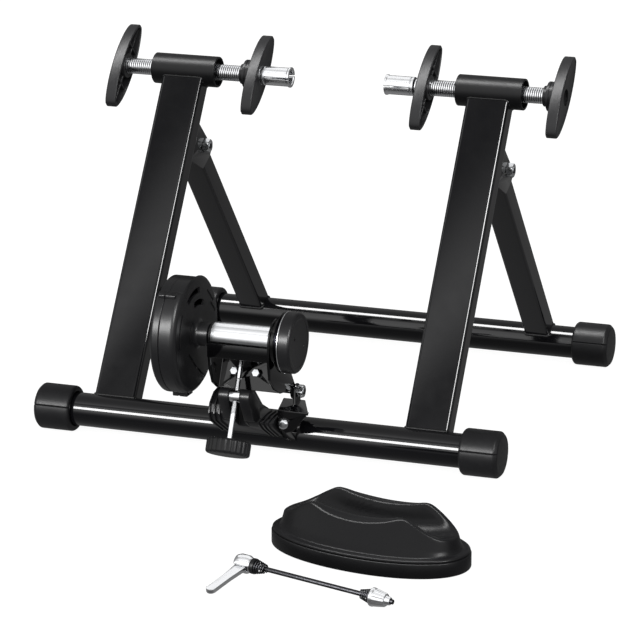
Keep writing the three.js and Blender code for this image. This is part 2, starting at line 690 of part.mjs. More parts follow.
function pivotNutGeometry() {
  const nut = hex(pivot.headAcross, rightEarFace, rightEarFace + pivot.nutThick);
  return cut(nut, bar(pivot.boltRadius + gap, rightEarFace - overrun, rightEarFace + 2 * pivot.nutThick, smallSides));
}

unit.add(part('pivot_bolt', pivotBoltGeometry(), chrome), part('pivot_nut', pivotNutGeometry(), chrome));
trainer.add(unit);

// Base casting, drawn from the main tube's axis: a saddle on the tube, a ribbed body in front of it,
// two ears for the trunnion and one for the pivot
const trunnionAt = [-adjuster.back, adjuster.up];
const pivotAt = [-pivot.back, pivot.up];
const bodyShares = [
  [0.14, 0.36], [-0.12, 0.56], [-0.42, 0.95], [-0.66, 0.9], [-0.81, 0.76], [-0.86, 0.6], [-0.81, 0.45],
  [-0.66, 0.32], [-0.2, -0.05],
];
const lowShares = [[0.14, 0.36], [-0.12, 0.48], [-0.5, 0.5], [-0.78, 0.46], [-0.66, 0.32], [-0.2, -0.05]];
const earFootShares = [[-0.63, 0.82], [-0.6, 0.4], [-0.86, 0.5]];
const fromShares = (shares) => shares.map(([y, z]) => [y * casting.depth, z * casting.height]);

function earOutline() {
  const [y, z] = trunnionAt;
  return [...arc(y, z, casting.earRadius, 60, 200, 8), ...fromShares(earFootShares).reverse()];
}

function pivotEarOutline() {
  const [y, z] = pivotAt;
  const foot = tube.radius + casting.saddleThick / 2;
  return [...arc(y, z, casting.earRadius, -10, 190, 10), [-foot, tube.radius / 2], [0, foot]];
}

function castingGeometry() {
  const { left, right, low, earThick, pivotEar, saddleThick } = casting;
  const half = trunnion.width / 2 + gap;
  const body = plateX(fromShares(bodyShares), left, right);
  const lowBody = plateX(fromShares(lowShares), left, low);
  const saddle = bar(tube.radius + saddleThick, left, low);
  const under = boxFrom(left - overrun, low + overrun, -casting.depth, casting.depth, -casting.height, 0);
  const ears = [
    plateX(earOutline(), adjuster.x - half - earThick, adjuster.x - half),
    plateX(earOutline(), adjuster.x + half, adjuster.x + half + earThick),
  ];
  const slot = boxFrom(adjuster.x - half, adjuster.x + half, -2 * casting.depth, trunnionAt[0] + 3 * casting.earRadius,
    0, 2 * casting.height);
  const way = bar(yoke.lugRadius + overrun, left + pivotEar, low + overrun, smallSides).translate(0, ...pivotAt);
  const tunnel = bar(tube.radius + gap, left - overrun, low + overrun);
  const pinHole = bar(trunnion.pinRadius + gap, adjuster.x - half - trunnion.pinLength - gap,
    adjuster.x + half + trunnion.pinLength + gap, smallSides).translate(0, ...trunnionAt);
  const pivotHole = bar(pivot.boltRadius + gap, left - overrun, left + pivotEar + overrun, smallSides);
  const rough = join(body, lowBody, cut(saddle, under), plateX(pivotEarOutline(), left, left + pivotEar));
  return cut(join(cut(rough, slot), ...ears), way, tunnel, pinHole, pivotHole.translate(0, ...pivotAt));
}

// Folded pivot bracket beside it, and the bolt that clamps it to the tube
function pivotBracketGeometry() {
  const { left, right, plate, topUp, frontBack, farWidth, nearWidth, flare, earRadius } = pivotBracket;
  const near = left + flare / 2;
  const top = plateZ([
    [left, 0], [left + farWidth, 0], [near + nearWidth, -frontBack], [near, -frontBack],
  ], topUp - plate, topUp);
  const front = plateY([
    [near, topUp], [near, topUp / 2], [near + nearWidth / 4, topUp / 3], [near + nearWidth / 2, topUp / 2.4],
    [near + nearWidth, topUp],
  ], -frontBack, -frontBack + plate);
  const heart = plateX([
    [0, tube.radius], [0, topUp - plate / 2], [-frontBack + plate / 2, topUp - plate / 2],
    [-frontBack + plate / 2, topUp / 2], [-tube.radius, -plate], [-tube.radius / 2, 0],
  ], near, right);
  const [y, z] = pivotAt;
  const earFrom = bossFace + yoke.plate + gap;
  const ear = plateX([...arc(y, z, earRadius, -10, 190, 10), [y - earRadius, topUp - plate], [y + earRadius, topUp - plate]],
    earFrom, earFrom + plate);
  const tunnel = bar(tube.radius + gap, 0, 2 * nearWidth + near);
  const hole = bar(pivot.boltRadius + gap, 0, 2 * nearWidth + near, smallSides).translate(0, y, z);
  const way = bar(yoke.lugRadius + overrun, 0, earFrom, smallSides).translate(0, y, z);
  const boltHole = clampBoltShape(clampBolt.radius + gap, clampBolt.radius + gap);
  return cut(join(top, front, heart, ear), tunnel, hole, way, boltHole);
}

function clampBoltShape(headRadius, shankRadius) {
  const { headThick, length } = clampBolt;
  const geometry = toY(turned([
    [0, -headThick], [headRadius * headCrownShare, -headThick], [headRadius, -headThick / 2], [headRadius, 0],
    [shankRadius, 0], [shankRadius, length], [0, length],
  ], smallSides));
  const { left, right, frontBack, topUp } = pivotBracket;
  return geometry.translate((left + right) / 2 + clampBolt.headRadius, -frontBack - gap, topUp * clampBoltUpShare);
}

const headCrownShare = 0.6;
const clampBoltUpShare = 0.62;

function trunnionGeometry() {
  const half = trunnion.width / 2;
  const reach = half + trunnion.pinLength;
  const body = turned([
    [0, -reach], [trunnion.pinRadius, -reach], [trunnion.pinRadius, -half], [trunnion.radius, -half],
    [trunnion.radius, half], [trunnion.pinRadius, half], [trunnion.pinRadius, reach], [0, reach],
  ], smallSides);
  const bore = toZ(bar(adjuster.rodRadius + gap, -2 * trunnion.radius, 2 * trunnion.radius, smallSides));
  return cut(body, bore.rotateX(-adjuster.tilt * degrees));
}

const toZ = (geometry) => geometry.rotateY(-Math.PI / 2);

const base = new THREE.Group();
base.position.set(0, mainTube.y, mainTube.z);
base.add(part('base_casting', castingGeometry(), satinPlastic));
base.add(part('pivot_bracket', pivotBracketGeometry(), sheetBlack));
base.add(part('clamp_bolt', clampBoltShape(clampBolt.headRadius, clampBolt.radius), chrome));
const trunnionMesh = part('trunnion_nut', trunnionGeometry(), chrome);
trunnionMesh.position.set(adjuster.x, ...trunnionAt);
base.add(trunnionMesh);

// The adjuster rod leans with its top towards the roller; heights run along it from the trunnion
const shelfUnder = yoke.lipBottom - 2 * yoke.webThick - mainTube.z;
const rodTop = (shelfUnder - adjuster.up) / Math.cos(adjuster.tilt * degrees) - adjuster.padThick - 3 * gap;
const knobTop = -adjusterKnob.below + adjusterKnob.thick / 2;

function adjusterKnobGeometry() {
  const { radius, thick, flutes, fluteRadius, fluteShare } = adjusterKnob;
  const body = turned([
    [0, 0], [radius - fluteRadius / 2, 0], [radius, fluteRadius / 2], [radius, thick - fluteRadius / 3],
    [radius - fluteRadius / 3, thick], [0, thick],
  ], 36);
  const grooves = Array.from({ length: flutes }, (_, i) => {
    const angle = (2 * Math.PI * i) / flutes;
    const groove = bar(fluteRadius, -overrun, thick + overrun, 8);
    return groove.translate(0, radius * fluteShare * Math.cos(angle), radius * fluteShare * Math.sin(angle));
  });
  const bore = bar(adjuster.rodRadius + gap, thick / 4, thick + overrun, smallSides);
  return toZ(cut(body, ...grooves, bore));
}

function padGeometry() {
  const { padRadius, padThick, rodRadius } = adjuster;
  const profile = [
    [0, 0], [rodRadius * 1.2, 0], [padRadius, padThick / 3], [padRadius, padThick / 2],
    [padRadius / 2, padThick], [0, padThick],
  ];
  return toZ(turned(profile, smallSides));
}

const adjusterGroup = new THREE.Group();
adjusterGroup.position.copy(trunnionMesh.position);
adjusterGroup.rotation.x = -adjuster.tilt * degrees;
const knobBottom = knobTop - adjusterKnob.thick;
const rodLow = knobBottom + adjusterKnob.thick / 4 + gap;
const adjusterRod = part('adjuster_rod', toZ(bar(adjuster.rodRadius, rodLow, rodTop, smallSides)), chrome);
const knobMesh = part('adjuster_knob', adjusterKnobGeometry(), satinPlastic);
knobMesh.position.z = knobBottom;
const padMesh = part('thrust_pad', padGeometry(), zinc);
padMesh.position.z = rodTop + gap;
adjusterGroup.add(adjusterRod, knobMesh, padMesh);
base.add(adjusterGroup);
trainer.add(base);

// Riser block: an oval base, a body that rises to two ridges, and a trough cut by the tyre itself
function oval(halfLength, halfWidth) {
  return Array.from({ length: outlinePoints }, (_, i) => {
    const angle = (2 * Math.PI * i) / outlinePoints;
    const [c, s] = [Math.cos(angle), Math.sin(angle)];
    const bulge = 2 / block.power;
    return [halfLength * Math.sign(c) * Math.abs(c) ** bulge, halfWidth * Math.sign(s) * Math.abs(s) ** bulge];
  });
}

// Draws a prism in as it rises, evenly, to these shares of its size at the top
function drawnIn(geometry, from, to, alongShare, acrossShare) {
  const places = geometry.attributes.position;
  for (let i = 0; i < places.count; i += 1) {
    const rise = (places.getZ(i) - from) / (to - from);
    places.setX(i, places.getX(i) * (1 - rise * (1 - alongShare)));
    places.setY(i, places.getY(i) * (1 - rise * (1 - acrossShare)));
  }
  return geometry;
}

function blockGeometry() {
  const { length, width, baseHeight, grooveHeight, groove, inset, bevel, topLength, topWidth, dip } = block;
  const { endHeight, endLength, slopeHeight, slopeLength, ridgeHeight, ridgeLength } = block;
  const top = ridgeHeight + overrun;
  const basePlate = plateZ(oval(length / 2, width / 2), 0, grooveHeight);
  const rim = plateZ(oval(length / 2 - groove, width / 2 - groove), grooveHeight - overrun, baseHeight, bevel);
  const low = { along: length / 2 - inset, across: width / 2 - inset };
  const prism = plateZ(oval(low.along, low.across), grooveHeight, top);
  const shares = [(length * topLength) / 2 / low.along, (width * topWidth) / 2 / low.across];
  const body = drawnIn(prism, grooveHeight, top, ...shares);
  const half = length / 2;
  const rise = [
    [half, endHeight], [half * endLength, endHeight], [half * slopeLength, slopeHeight], [half * ridgeLength, ridgeHeight],
    [half * ridgeLength * 0.67, ridgeHeight - dip * 0.55], [half * ridgeLength * 0.25, ridgeHeight - dip],
  ];
  const fall = rise.map(([x, z]) => [-x, z]).reverse();
  const side = [[-half, 0], [half, 0], ...rise, ...fall];
  const shaped = common(body, plateY(side, -width, width));
  const { radius, tyreRadius, floorHeight } = frontWheel;
  const section = arc(radius - tyreRadius, 0, tyreRadius, 0, 360, 16).map(([r, x]) => new THREE.Vector2(r, x));
  const wheel = new THREE.LatheGeometry(section, 96).translate(0, 0, 0);
  wheel.translate(0, 0, radius + floorHeight);
  return cut(join(basePlate, rim, shaped), wheel);
}

const blockMesh = part('wheel_riser_block', blockGeometry(), glossPlastic);
blockMesh.position.set(block.x, block.y, 0);
blockMesh.rotation.z = block.turn * degrees;
trainer.add(blockMesh);

// A conical spring of round wire about the X axis, one unbroken tube
function springGeometry() {
  const { wireRadius, bigRadius, smallRadius, length, curls, steps, sides } = spring;
  const count = curls * steps;
  const points = [];
  const centreAt = (i) => {
    const share = i / count;
    const angle = 2 * Math.PI * curls * share;
    const r = bigRadius + (smallRadius - bigRadius) * share;
    const x = wireRadius + (length - 2 * wireRadius) * share;
    return new THREE.Vector3(x, r * Math.cos(angle), r * Math.sin(angle));
  };
  for (let i = 0; i <= count; i += 1) {
    const centre = centreAt(i);
    const out = new THREE.Vector3(0, centre.y, centre.z).normalize();
    const along = new THREE.Vector3(1, 0, 0);
    for (let k = 0; k < sides; k += 1) {
      const turn = (2 * Math.PI * k) / sides;
      points.push(centre.clone().addScaledVector(out, wireRadius * Math.cos(turn))
        .addScaledVector(along, wireRadius * Math.sin(turn)));
    }
  }
  const index = [];
  for (let i = 0; i < count; i += 1) {
    for (let k = 0; k < sides; k += 1) {
      const a = i * sides + k;
      const b = i * sides + ((k + 1) % sides);
      index.push(a, b, a + sides, b, b + sides, a + sides);
    }
  }
  for (let k = 1; k < sides - 1; k += 1) {
    index.push(0, k + 1, k);
    index.push(count * sides, count * sides + k, count * sides + k + 1);
  }
  const geometry = new THREE.BufferGeometry().setFromPoints(points);
  geometry.setIndex(index);
  return geometry;
}

const springGap = (spring.length - 2 * spring.wireRadius) / spring.curls - 2 * spring.wireRadius;
console.log(`conical springs: least gap between curls ${springGap.toFixed(2)} mm`);

// The skewer lies on the floor on its cam seat and its cone nut; x runs from the cam to the nut
function camSeatGeometry() {
  const { seatRadius, seatLength, camRadius, rodRadius } = skewer;
  const body = turned([
    [0, -seatLength / 2], [camRadius * seatCrownShare, -seatLength / 2], [camRadius, -seatLength / 4],
    [camRadius, seatLength / 4], [seatRadius * seatCrownShare, seatLength / 2], [0, seatLength / 2],
  ], 24);
  const slot = boxFrom(-seatLength, lever.bossRadius + skewer.slotClearance, -camRadius - overrun, camRadius + overrun,
    -lever.thick / 2 - gap, lever.thick / 2 + gap);
  return cut(body, bar(rodRadius + gap, 0, seatLength, smallSides), slot);
}

const seatCrownShare = 0.8;

function leverGeometry() {
  const { length, width, tipWidth, thick, bossRadius, bend } = lever;
  const outline = [
    ...arc(0, 0, bossRadius, 0, 180, 8),
    [-width / 2 - bend / 2, -length / 2], [-width / 2 - bend, -length + tipWidth / 2],
    ...arc(-bend, -length + tipWidth / 2, tipWidth / 2, 180, 360, 8),
    [tipWidth / 2 - bend / 2, -length / 2], [bossRadius, -bossRadius],
  ];
  return cut(plateZ(outline, -thick / 2, thick / 2), bar(skewer.rodRadius + gap, 0, bossRadius, 12));
}

function coneNutGeometry() {
  const { nutRadius, nutLength, coneRadius, coneLength, rodRadius } = skewer;
  const body = turned([
    [0, 0], [nutRadius * 0.7, 0], [nutRadius, nutLength / 4], [nutRadius, nutLength * 0.6],
    [nutRadius * 0.75, nutLength], [coneRadius, nutLength], [coneRadius * 0.8, nutLength + coneLength],
    [0, nutLength + coneLength],
  ], 16);
  return cut(body, bar(rodRadius + gap, -overrun, nutLength + coneLength + overrun, smallSides));
}

const skewerGroup = new THREE.Group();
skewerGroup.position.set(skewer.x, skewer.y, skewer.z);
skewerGroup.rotation.set(skewer.roll * degrees, skewer.dip * degrees, skewer.turn * degrees, 'ZYX');
const washerFrom = skewer.seatLength / 2 + gap;
const leverSpringFrom = washerFrom + skewer.washerThick + gap;
const nutFrom = skewer.length - skewer.nutLength - skewer.coneLength - gap;
const nutSpringTo = nutFrom - gap;
const skewerRod = bar(skewer.rodRadius, lever.bossRadius + skewer.slotClearance, skewer.length + skewer.coneLength / 2, smallSides);
const seat = part('skewer_cam_seat', camSeatGeometry(), chrome);
const leverMesh = part('skewer_lever', leverGeometry(), chrome);
const washerRing = ring(skewer.washerRadius, skewer.rodRadius + gap, 0, skewer.washerThick, 24);
const washer = part('skewer_washer', washerRing, rubber);
washer.position.x = washerFrom;
const leverSpring = part('skewer_lever_spring', springGeometry(), zinc);
leverSpring.position.x = leverSpringFrom;
const nutSpring = part('skewer_nut_spring', springGeometry(), zinc);
nutSpring.position.x = nutSpringTo;
nutSpring.rotation.z = Math.PI;
const coneNut = part('skewer_cone_nut', coneNutGeometry(), chrome);
coneNut.position.x = nutFrom;
skewerGroup.add(part('skewer_rod', skewerRod, zinc), seat, leverMesh, washer, leverSpring, nutSpring, coneNut);
trainer.add(skewerGroup);

// Centre the whole on its footprint, standing on the floor
const footprint = new THREE.Box3().setFromObject(trainer, true);
const middle = footprint.getCenter(new THREE.Vector3());
trainer.position.set(-middle.x, -middle.y, -footprint.min.z);

export default trainer;
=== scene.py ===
# %% [markdown]
# # A folding roller trainer in a bright studio
#
# This lesson dresses a finished CAD model. The model gives every piece its size and its place, and
# Blender gives it rounded edges, threads, welds, moulded detail and a surface. Each step says what the
# piece is on the real trainer, how it could be made, and why this way was chosen.

import math

import bmesh
import bpy
from mathutils import Matrix, Vector


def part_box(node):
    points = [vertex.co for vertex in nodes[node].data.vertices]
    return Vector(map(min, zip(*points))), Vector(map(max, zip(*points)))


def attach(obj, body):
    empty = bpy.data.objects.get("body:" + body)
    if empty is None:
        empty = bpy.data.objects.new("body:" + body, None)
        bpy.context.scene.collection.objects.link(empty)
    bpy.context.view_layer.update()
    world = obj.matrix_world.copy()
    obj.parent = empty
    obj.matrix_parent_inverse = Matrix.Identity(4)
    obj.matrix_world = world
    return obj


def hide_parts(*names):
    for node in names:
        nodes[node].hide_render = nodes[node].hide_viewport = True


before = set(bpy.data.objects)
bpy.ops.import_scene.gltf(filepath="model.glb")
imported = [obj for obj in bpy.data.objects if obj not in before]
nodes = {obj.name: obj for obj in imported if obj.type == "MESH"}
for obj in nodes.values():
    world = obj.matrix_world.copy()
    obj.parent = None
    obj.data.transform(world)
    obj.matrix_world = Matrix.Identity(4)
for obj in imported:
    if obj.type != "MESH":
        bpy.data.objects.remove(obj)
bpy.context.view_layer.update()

# %% [markdown]
# ## Where things are
#
# The drawing's sizes are millimetres from the middle of the stance, and Blender works in metres. One
# function turns a place in the drawing into a matrix, so a shape can be made round its own origin and
# still lie in its mesh at the right spot, with its object at the world's origin.

# %% Places
MM = 0.001


def middle(name):
    low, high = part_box(name)
    return (low + high) / 2


main_axis = middle("main_cross_tube")
fold_axis = middle("fold_cross_tube")
stand = Vector((main_axis.x, (main_axis.y + fold_axis.y) / 2, 0))
main_y = (main_axis.y - stand.y) / MM
fold_y = (fold_axis.y - stand.y) / MM
tube_z = main_axis.z / MM


def place(x=0.0, y=0.0, z=0.0, turn=None):
    """Puts a shape drawn in millimetres at a place measured from the middle of the stance."""
    spot = Matrix.Translation(stand + Vector((x, y, z)) * MM)
    return spot @ Matrix.Scale(MM, 4) @ (turn or Matrix.Identity(4))


def turn_about(axis, degrees):
    return Matrix.Rotation(math.radians(degrees), 4, axis)


def linked(name, data):
    """A new object in the scene, for a mesh, a lamp or the camera."""
    made = bpy.data.objects.new(name, data)
    bpy.context.scene.collection.objects.link(made)
    return made


print("cross tubes at", round(main_y, 1), "and", round(fold_y, 1), "mm,", round(tube_z, 2), "mm up")

# %% [markdown]
# ## The camera
#
# The photograph was taken from far off with a long lens, a little to the right and a little above. The
# distance, angles and lens come from matching the feet, the axle line and the tubes.

# %% Camera
AZIMUTH, ELEVATION, DISTANCE, LENS = 19.85, 15.79, 3.9445, 189.53
AIM = (-18.34, 0, 90.66)
aim = stand + Vector(AIM) * MM
flat = math.cos(math.radians(ELEVATION))
back = Vector((
    math.sin(math.radians(AZIMUTH)) * flat,
    -math.cos(math.radians(AZIMUTH)) * flat,
    math.sin(math.radians(ELEVATION)),
))
camera = linked("camera", bpy.data.cameras.new("camera"))
camera.data.sensor_width = 36
camera.data.lens = LENS
camera.data.clip_end = 100
camera.location = aim + back * DISTANCE
camera.rotation_euler = back.to_track_quat("Z", "Y").to_euler()
bpy.context.scene.camera = camera
print("camera at", [round(c, 3) for c in camera.location])

# %% [markdown]
# ## Two small tools for nodes
#
# Shaders, the world and Geometry Nodes are all node trees. One function adds a node with its settings
# and its links, and another turns the hex colour of a paint chart into the linear numbers that Blender
# mixes light with.

# %% Nodes and colours
def add(tree, kind, feeds=None, **settings):
    """Adds one node. feeds gives its inputs, each a number, a colour or another node's output."""
    made = tree.nodes.new(kind)
    for setting, value in settings.items():
        setattr(made, setting, value)
    for socket, value in (feeds or {}).items():
        if isinstance(value, bpy.types.NodeSocket):
            tree.links.new(value, made.inputs[socket])
        else:
            made.inputs[socket].default_value = value
    return made


def colour(hex_text):
    """sRGB hex to a linear colour."""
    parts = [int(hex_text[i:i + 2], 16) / 255 for i in (1, 3, 5)]
    return [p / 12.92 if p <= 0.04045 else ((p + 0.055) / 1.055) ** 2.4 for p in parts] + [1.0]


# %% [markdown]
# ## Studio light
#
# Gloss black shows nothing but what it mirrors, so the room is drawn as bands of light that run along
# the tubes, by the angle round the trainer's long axis: 0 is level in front, 90 is overhead, and a
# minus sign is the floor. The narrow band near 50 degrees is what the sloping legs mirror at mid
# height. The bright lines on the tubes come from long lamps, added below.

# %% World
BANDS = [
    (-170, 0.15), (-110, 0.25), (-60, 0.13), (-22, 0.1), (-10, 0.3), (-2, 0.75), (8, 1.5), (17, 1.75),
    (26, 1.6), (38, 1.5), (44, 1.35), (47.4, 0.3), (48.5, 0.14), (49.2, 0.8), (49.8, 1.5), (50.2, 1.66),
    (50.7, 1.1), (51.2, 0.5), (51.8, 0.16), (54.5, 0.16), (57, 1.1), (62, 1.1), (70, 0.7), (80, 0.48),
    (92, 0.38), (110, 0.32), (140, 0.32), (175, 0.18),
]
world = bpy.data.worlds.new("studio")
bpy.context.scene.world = world
world.use_nodes = True
room = world.node_tree
room.nodes.clear()
way = add(room, "ShaderNodeSeparateXYZ", {0: add(room, "ShaderNodeTexCoord").outputs["Generated"]})
behind = add(room, "ShaderNodeMath", {0: way.outputs["Y"], 1: -1.0}, operation="MULTIPLY")
round_axis = add(room, "ShaderNodeMath", {0: way.outputs["Z"], 1: behind.outputs[0]}, operation="ARCTAN2")
low, high = BANDS[0][0], BANDS[-1][0]
share = add(room, "ShaderNodeMapRange", {
    "Value": round_axis.outputs[0], "From Min": math.radians(low), "From Max": math.radians(high),
})
bands = add(room, "ShaderNodeValToRGB", {"Fac": share.outputs[0]})
brightest = max(level for _, level in BANDS)
while len(bands.color_ramp.elements) < len(BANDS):
    bands.color_ramp.elements.new(0.5)
for element, (angle, level) in zip(bands.color_ramp.elements, BANDS):
    element.position = (angle - low) / (high - low)
    element.color = [level / brightest] * 3 + [1]
studio = add(room, "ShaderNodeBackground", {"Color": bands.outputs["Color"], "Strength": brightest})
paper = add(room, "ShaderNodeBackground", {"Color": colour("#ffffff"), "Strength": 1.0})
seen = add(room, "ShaderNodeLightPath")
mixed = add(room, "ShaderNodeMixShader", {
    "Fac": seen.outputs["Is Camera Ray"], 1: studio.outputs[0], 2: paper.outputs[0],
})
add(room, "ShaderNodeOutputWorld", {"Surface": mixed.outputs[0]})
bpy.context.scene.view_settings.view_transform = "Standard"
print("world bands:", len(BANDS))

# %% [markdown]
# Each lamp is given by its angles, its size and how bright its face is, so a lamp and a band of the
# world compare directly. The photographer flagged the lamps: the low strip is seen by the front of the
# trainer, the high one by the rear tube, the sleeves and the knobs, and the metal has two white cards of
# its own. The small edge lamp stands to the right, where the sides of the legs mirror it. Light linking
# does the same here, once the pieces exist. The camera is on the right, so the long faces mirror what
# stands on the left, and the strips and cards are moved that way.

# %% Lamps
def lamp(name, up, size_x, size_y, level, aside=0.0, shift=0.0, distance=6.0):
    """A soft rectangular lamp. up and aside are degrees, level is how bright its face is."""
    made = linked(name, bpy.data.lights.new(name, "AREA"))
    made.data.shape = "RECTANGLE"
    made.data.size, made.data.size_y = size_x, size_y
    made.data.energy = level * math.pi * size_x * size_y
    towards = turn_about("Z", aside) @ Vector((0, -math.cos(math.radians(up)), math.sin(math.radians(up))))
    made.location = aim + Vector((shift, 0, 0)) + towards * distance
    made.rotation_euler = towards.to_track_quat("Z", "Y").to_euler()
    made.visible_camera = False
    return made


LEFTWARD = -1.6
low_strip = lamp("low_strip", 23, 7.0, 1.5, 26, shift=LEFTWARD)
high_strip = lamp("high_strip", 80, 7.0, 1.8, 24, shift=LEFTWARD)
edge_lamp = lamp("edge_lamp", 33, 0.8, 1.4, 30, aside=57, distance=4.0)
chrome_card = lamp("chrome_card", 62, 9.0, 6.5, 0.4, shift=LEFTWARD)
top_card = lamp("top_card", 122, 9.0, 6.0, 0.8, shift=LEFTWARD)

# %% [markdown]
# ## The floor
#
# The object stands on plain pale paper. The paper gives off most of its own light, which keeps it as
# white as the backdrop and leaves only a faint shadow where the rubber meets it. It lies a hair under
# the feet, so that no two faces share a plane.

# %% Floor
GLOW, REACH, DROP = 0.94, 14.0, 0.0004
paper_floor = bpy.data.materials.new("white_paper")
paper_floor.use_nodes = True
sheet = paper_floor.node_tree.nodes["Principled BSDF"]
sheet.inputs["Base Color"].default_value = colour("#8c8c8c")
sheet.inputs["Roughness"].default_value = 0.9
sheet.inputs["Specular IOR Level"].default_value = 0.0
sheet.inputs["Emission Color"].default_value = colour("#ffffff")
sheet.inputs["Emission Strength"].default_value = GLOW
floor_mesh = bpy.data.meshes.new("floor")
corners = [(-REACH, -REACH, 0), (REACH, -REACH, 0), (REACH, REACH, 0), (-REACH, REACH, 0)]
floor_mesh.from_pydata(corners, [], [(0, 1, 2, 3)])
floor_mesh.materials.append(paper_floor)
floor = linked("floor", floor_mesh)
floor.location.z = -DROP
floor.visible_glossy = False
print("floor", REACH * 2, "m across")

# %% [markdown]
# ## Finishes
#
# Black is eight different finishes here: two powder coats, three plastics, a soft vinyl and two dark
# steels. Each one starts from what the real surface is made of, and gets its own fine pattern in real
# millimetres: the orange peel of powder coating, the spark-eroded grain of a plastic mould, the fine
# lines that a lathe leaves round a roller.

# %% The start of every finish
def finish(name, base, roughness, metallic=0.0, **sockets):
    """A material with its shader, ready for a pattern. Returns the material, its tree and the shader."""
    made = bpy.data.materials.new(name)
    made.use_nodes = True
    shader = made.node_tree.nodes["Principled BSDF"]
    shader.inputs["Base Color"].default_value = colour(base)
    shader.inputs["Roughness"].default_value = roughness
    shader.inputs["Metallic"].default_value = metallic
    for socket, value in sockets.items():
        shader.inputs[socket.replace("_", " ")].default_value = value
    return made, made.node_tree, shader


def pattern(tree, size_mm, stretch=(1, 1, 1), detail=2.0):
    """Noise whose lumps are size_mm across, in the piece's own coordinates."""
    spot = add(tree, "ShaderNodeMapping", {
        "Vector": add(tree, "ShaderNodeTexCoord").outputs["Object"], "Scale": stretch,
    })
    return add(tree, "ShaderNodeTexNoise", {
        "Vector": spot.outputs[0], "Scale": 1 / (size_mm * MM), "Detail": detail, "Roughness": 0.5,
    }).outputs["Fac"]


def raise_by(tree, shader, height, depth_mm, strength=1.0):
    """Bumps the surface by a pattern, depth_mm from its lowest to its highest."""
    bump = add(tree, "ShaderNodeBump", {"Height": height, "Distance": depth_mm * MM, "Strength": strength})
    tree.links.new(bump.outputs[0], shader.inputs["Normal"])


def spread(tree, socket, fac, low_value, high_value):
    """Lets a pattern move one number of the shader between two values."""
    made = add(tree, "ShaderNodeMapRange", {
        "Value": fac, "From Min": 0.3, "From Max": 0.7, "To Min": low_value, "To Max": high_value,
    })
    tree.links.new(made.outputs[0], socket)


def tint(tree, shader, fac, dark, light):
    """Lets a pattern move the colour between two near shades."""
    shades = {"Factor": fac, "A": colour(dark), "B": colour(light)}
    made = add(tree, "ShaderNodeMix", shades, data_type="RGBA")
    tree.links.new(made.outputs["Result"], shader.inputs["Base Color"])


# %% [markdown]
# Gloss powder coat is polyester melted over the steel tubes. It keeps a faint orange peel a few
# millimetres across, far shallower than a wet paint's run, and mirrors a lamp almost sharply.

# %% Gloss powder coat
gloss_coat, tree, shader = finish("gloss_powder_coat", "#050506", 0.07)
raise_by(tree, shader, pattern(tree, 2.6, detail=1.0), 0.003)
tint(tree, shader, pattern(tree, 40), "#040405", "#060607")
spread(tree, shader.inputs["Roughness"], pattern(tree, 14), 0.06, 0.08)

# %% [markdown]
# The axle sleeves are coated too, but in a satin grade: the lamp's line spreads to a broad band
# across them.

# %% Satin powder coat
satin_coat, tree, shader = finish("satin_powder_coat", "#070708", 0.38, Specular_IOR_Level=0.22)
raise_by(tree, shader, pattern(tree, 1.1), 0.02)
tint(tree, shader, pattern(tree, 22), "#060607", "#09090a")
spread(tree, shader.inputs["Roughness"], pattern(tree, 6), 0.36, 0.41)

# %% [markdown]
# The knobs are glass-filled nylon from a spark-eroded mould. The grain is near 0.3 mm on the real
# part, too fine to show at this size, so it is drawn at 0.5 mm.

# %% Moulded nylon
nylon, tree, shader = finish("moulded_nylon", "#161617", 0.34, Specular_IOR_Level=0.22)
raise_by(tree, shader, pattern(tree, 0.5), 0.03, 0.8)
tint(tree, shader, pattern(tree, 18), "#141415", "#19191a")
spread(tree, shader.inputs["Roughness"], pattern(tree, 3), 0.32, 0.37)

# %% [markdown]
# The brake housing, the flywheel's cap and the base casting are ABS from a smoother mould, a shade
# glossier than the knobs. They have no grain, only a slow waver where the skin cooled unevenly.

# %% Moulded ABS
abs_plastic, tree, shader = finish("moulded_abs", "#0c0c0d", 0.3, Specular_IOR_Level=0.3)
raise_by(tree, shader, pattern(tree, 7, detail=0.0), 0.006)
tint(tree, shader, pattern(tree, 25), "#0a0a0b", "#0f0f10")
spread(tree, shader.inputs["Roughness"], pattern(tree, 5), 0.29, 0.32)

# %% [markdown]
# The riser block is blown polyethylene. It is waxy: its shine is broad, and its skin wavers slowly
# where the hollow wall cooled unevenly.

# %% Blown polyethylene
poly, tree, shader = finish("blown_polyethylene", "#0b0b0c", 0.3, IOR=1.51, Specular_IOR_Level=0.12)
raise_by(tree, shader, pattern(tree, 9, detail=1.0), 0.12)
tint(tree, shader, pattern(tree, 30), "#0a0a0b", "#0d0d0e")
spread(tree, shader.inputs["Roughness"], pattern(tree, 1.2, detail=3.0), 0.27, 0.34)

# %% [markdown]
# The feet are soft vinyl, dipped and a little dusty on their upper side.

# %% Soft vinyl
vinyl, tree, shader = finish("soft_vinyl", "#0c0c0d", 0.36, Specular_IOR_Level=0.2)
raise_by(tree, shader, pattern(tree, 1.6, detail=1.5), 0.02)
tint(tree, shader, pattern(tree, 15), "#0a0a0b", "#0f0f10")
spread(tree, shader.inputs["Roughness"], pattern(tree, 4), 0.33, 0.4)

# %% [markdown]
# The roller, the cups and the threaded rods are turned and chromed. The turning leaves rings round the
# axis, so the pattern is stretched round it: fine along X and long across.

# %% Turned chrome
turned_chrome, tree, shader = finish("turned_chrome", "#e9eaec", 0.2, 1.0)
lines = pattern(tree, 0.7, stretch=(1, 0.04, 0.04))
raise_by(tree, shader, lines, 0.006)
spread(tree, shader.inputs["Roughness"], lines, 0.15, 0.26)

# %% [markdown]
# Bolts, nuts and bushes are zinc plated: greyer than chrome, with a faint cloud in the plating.

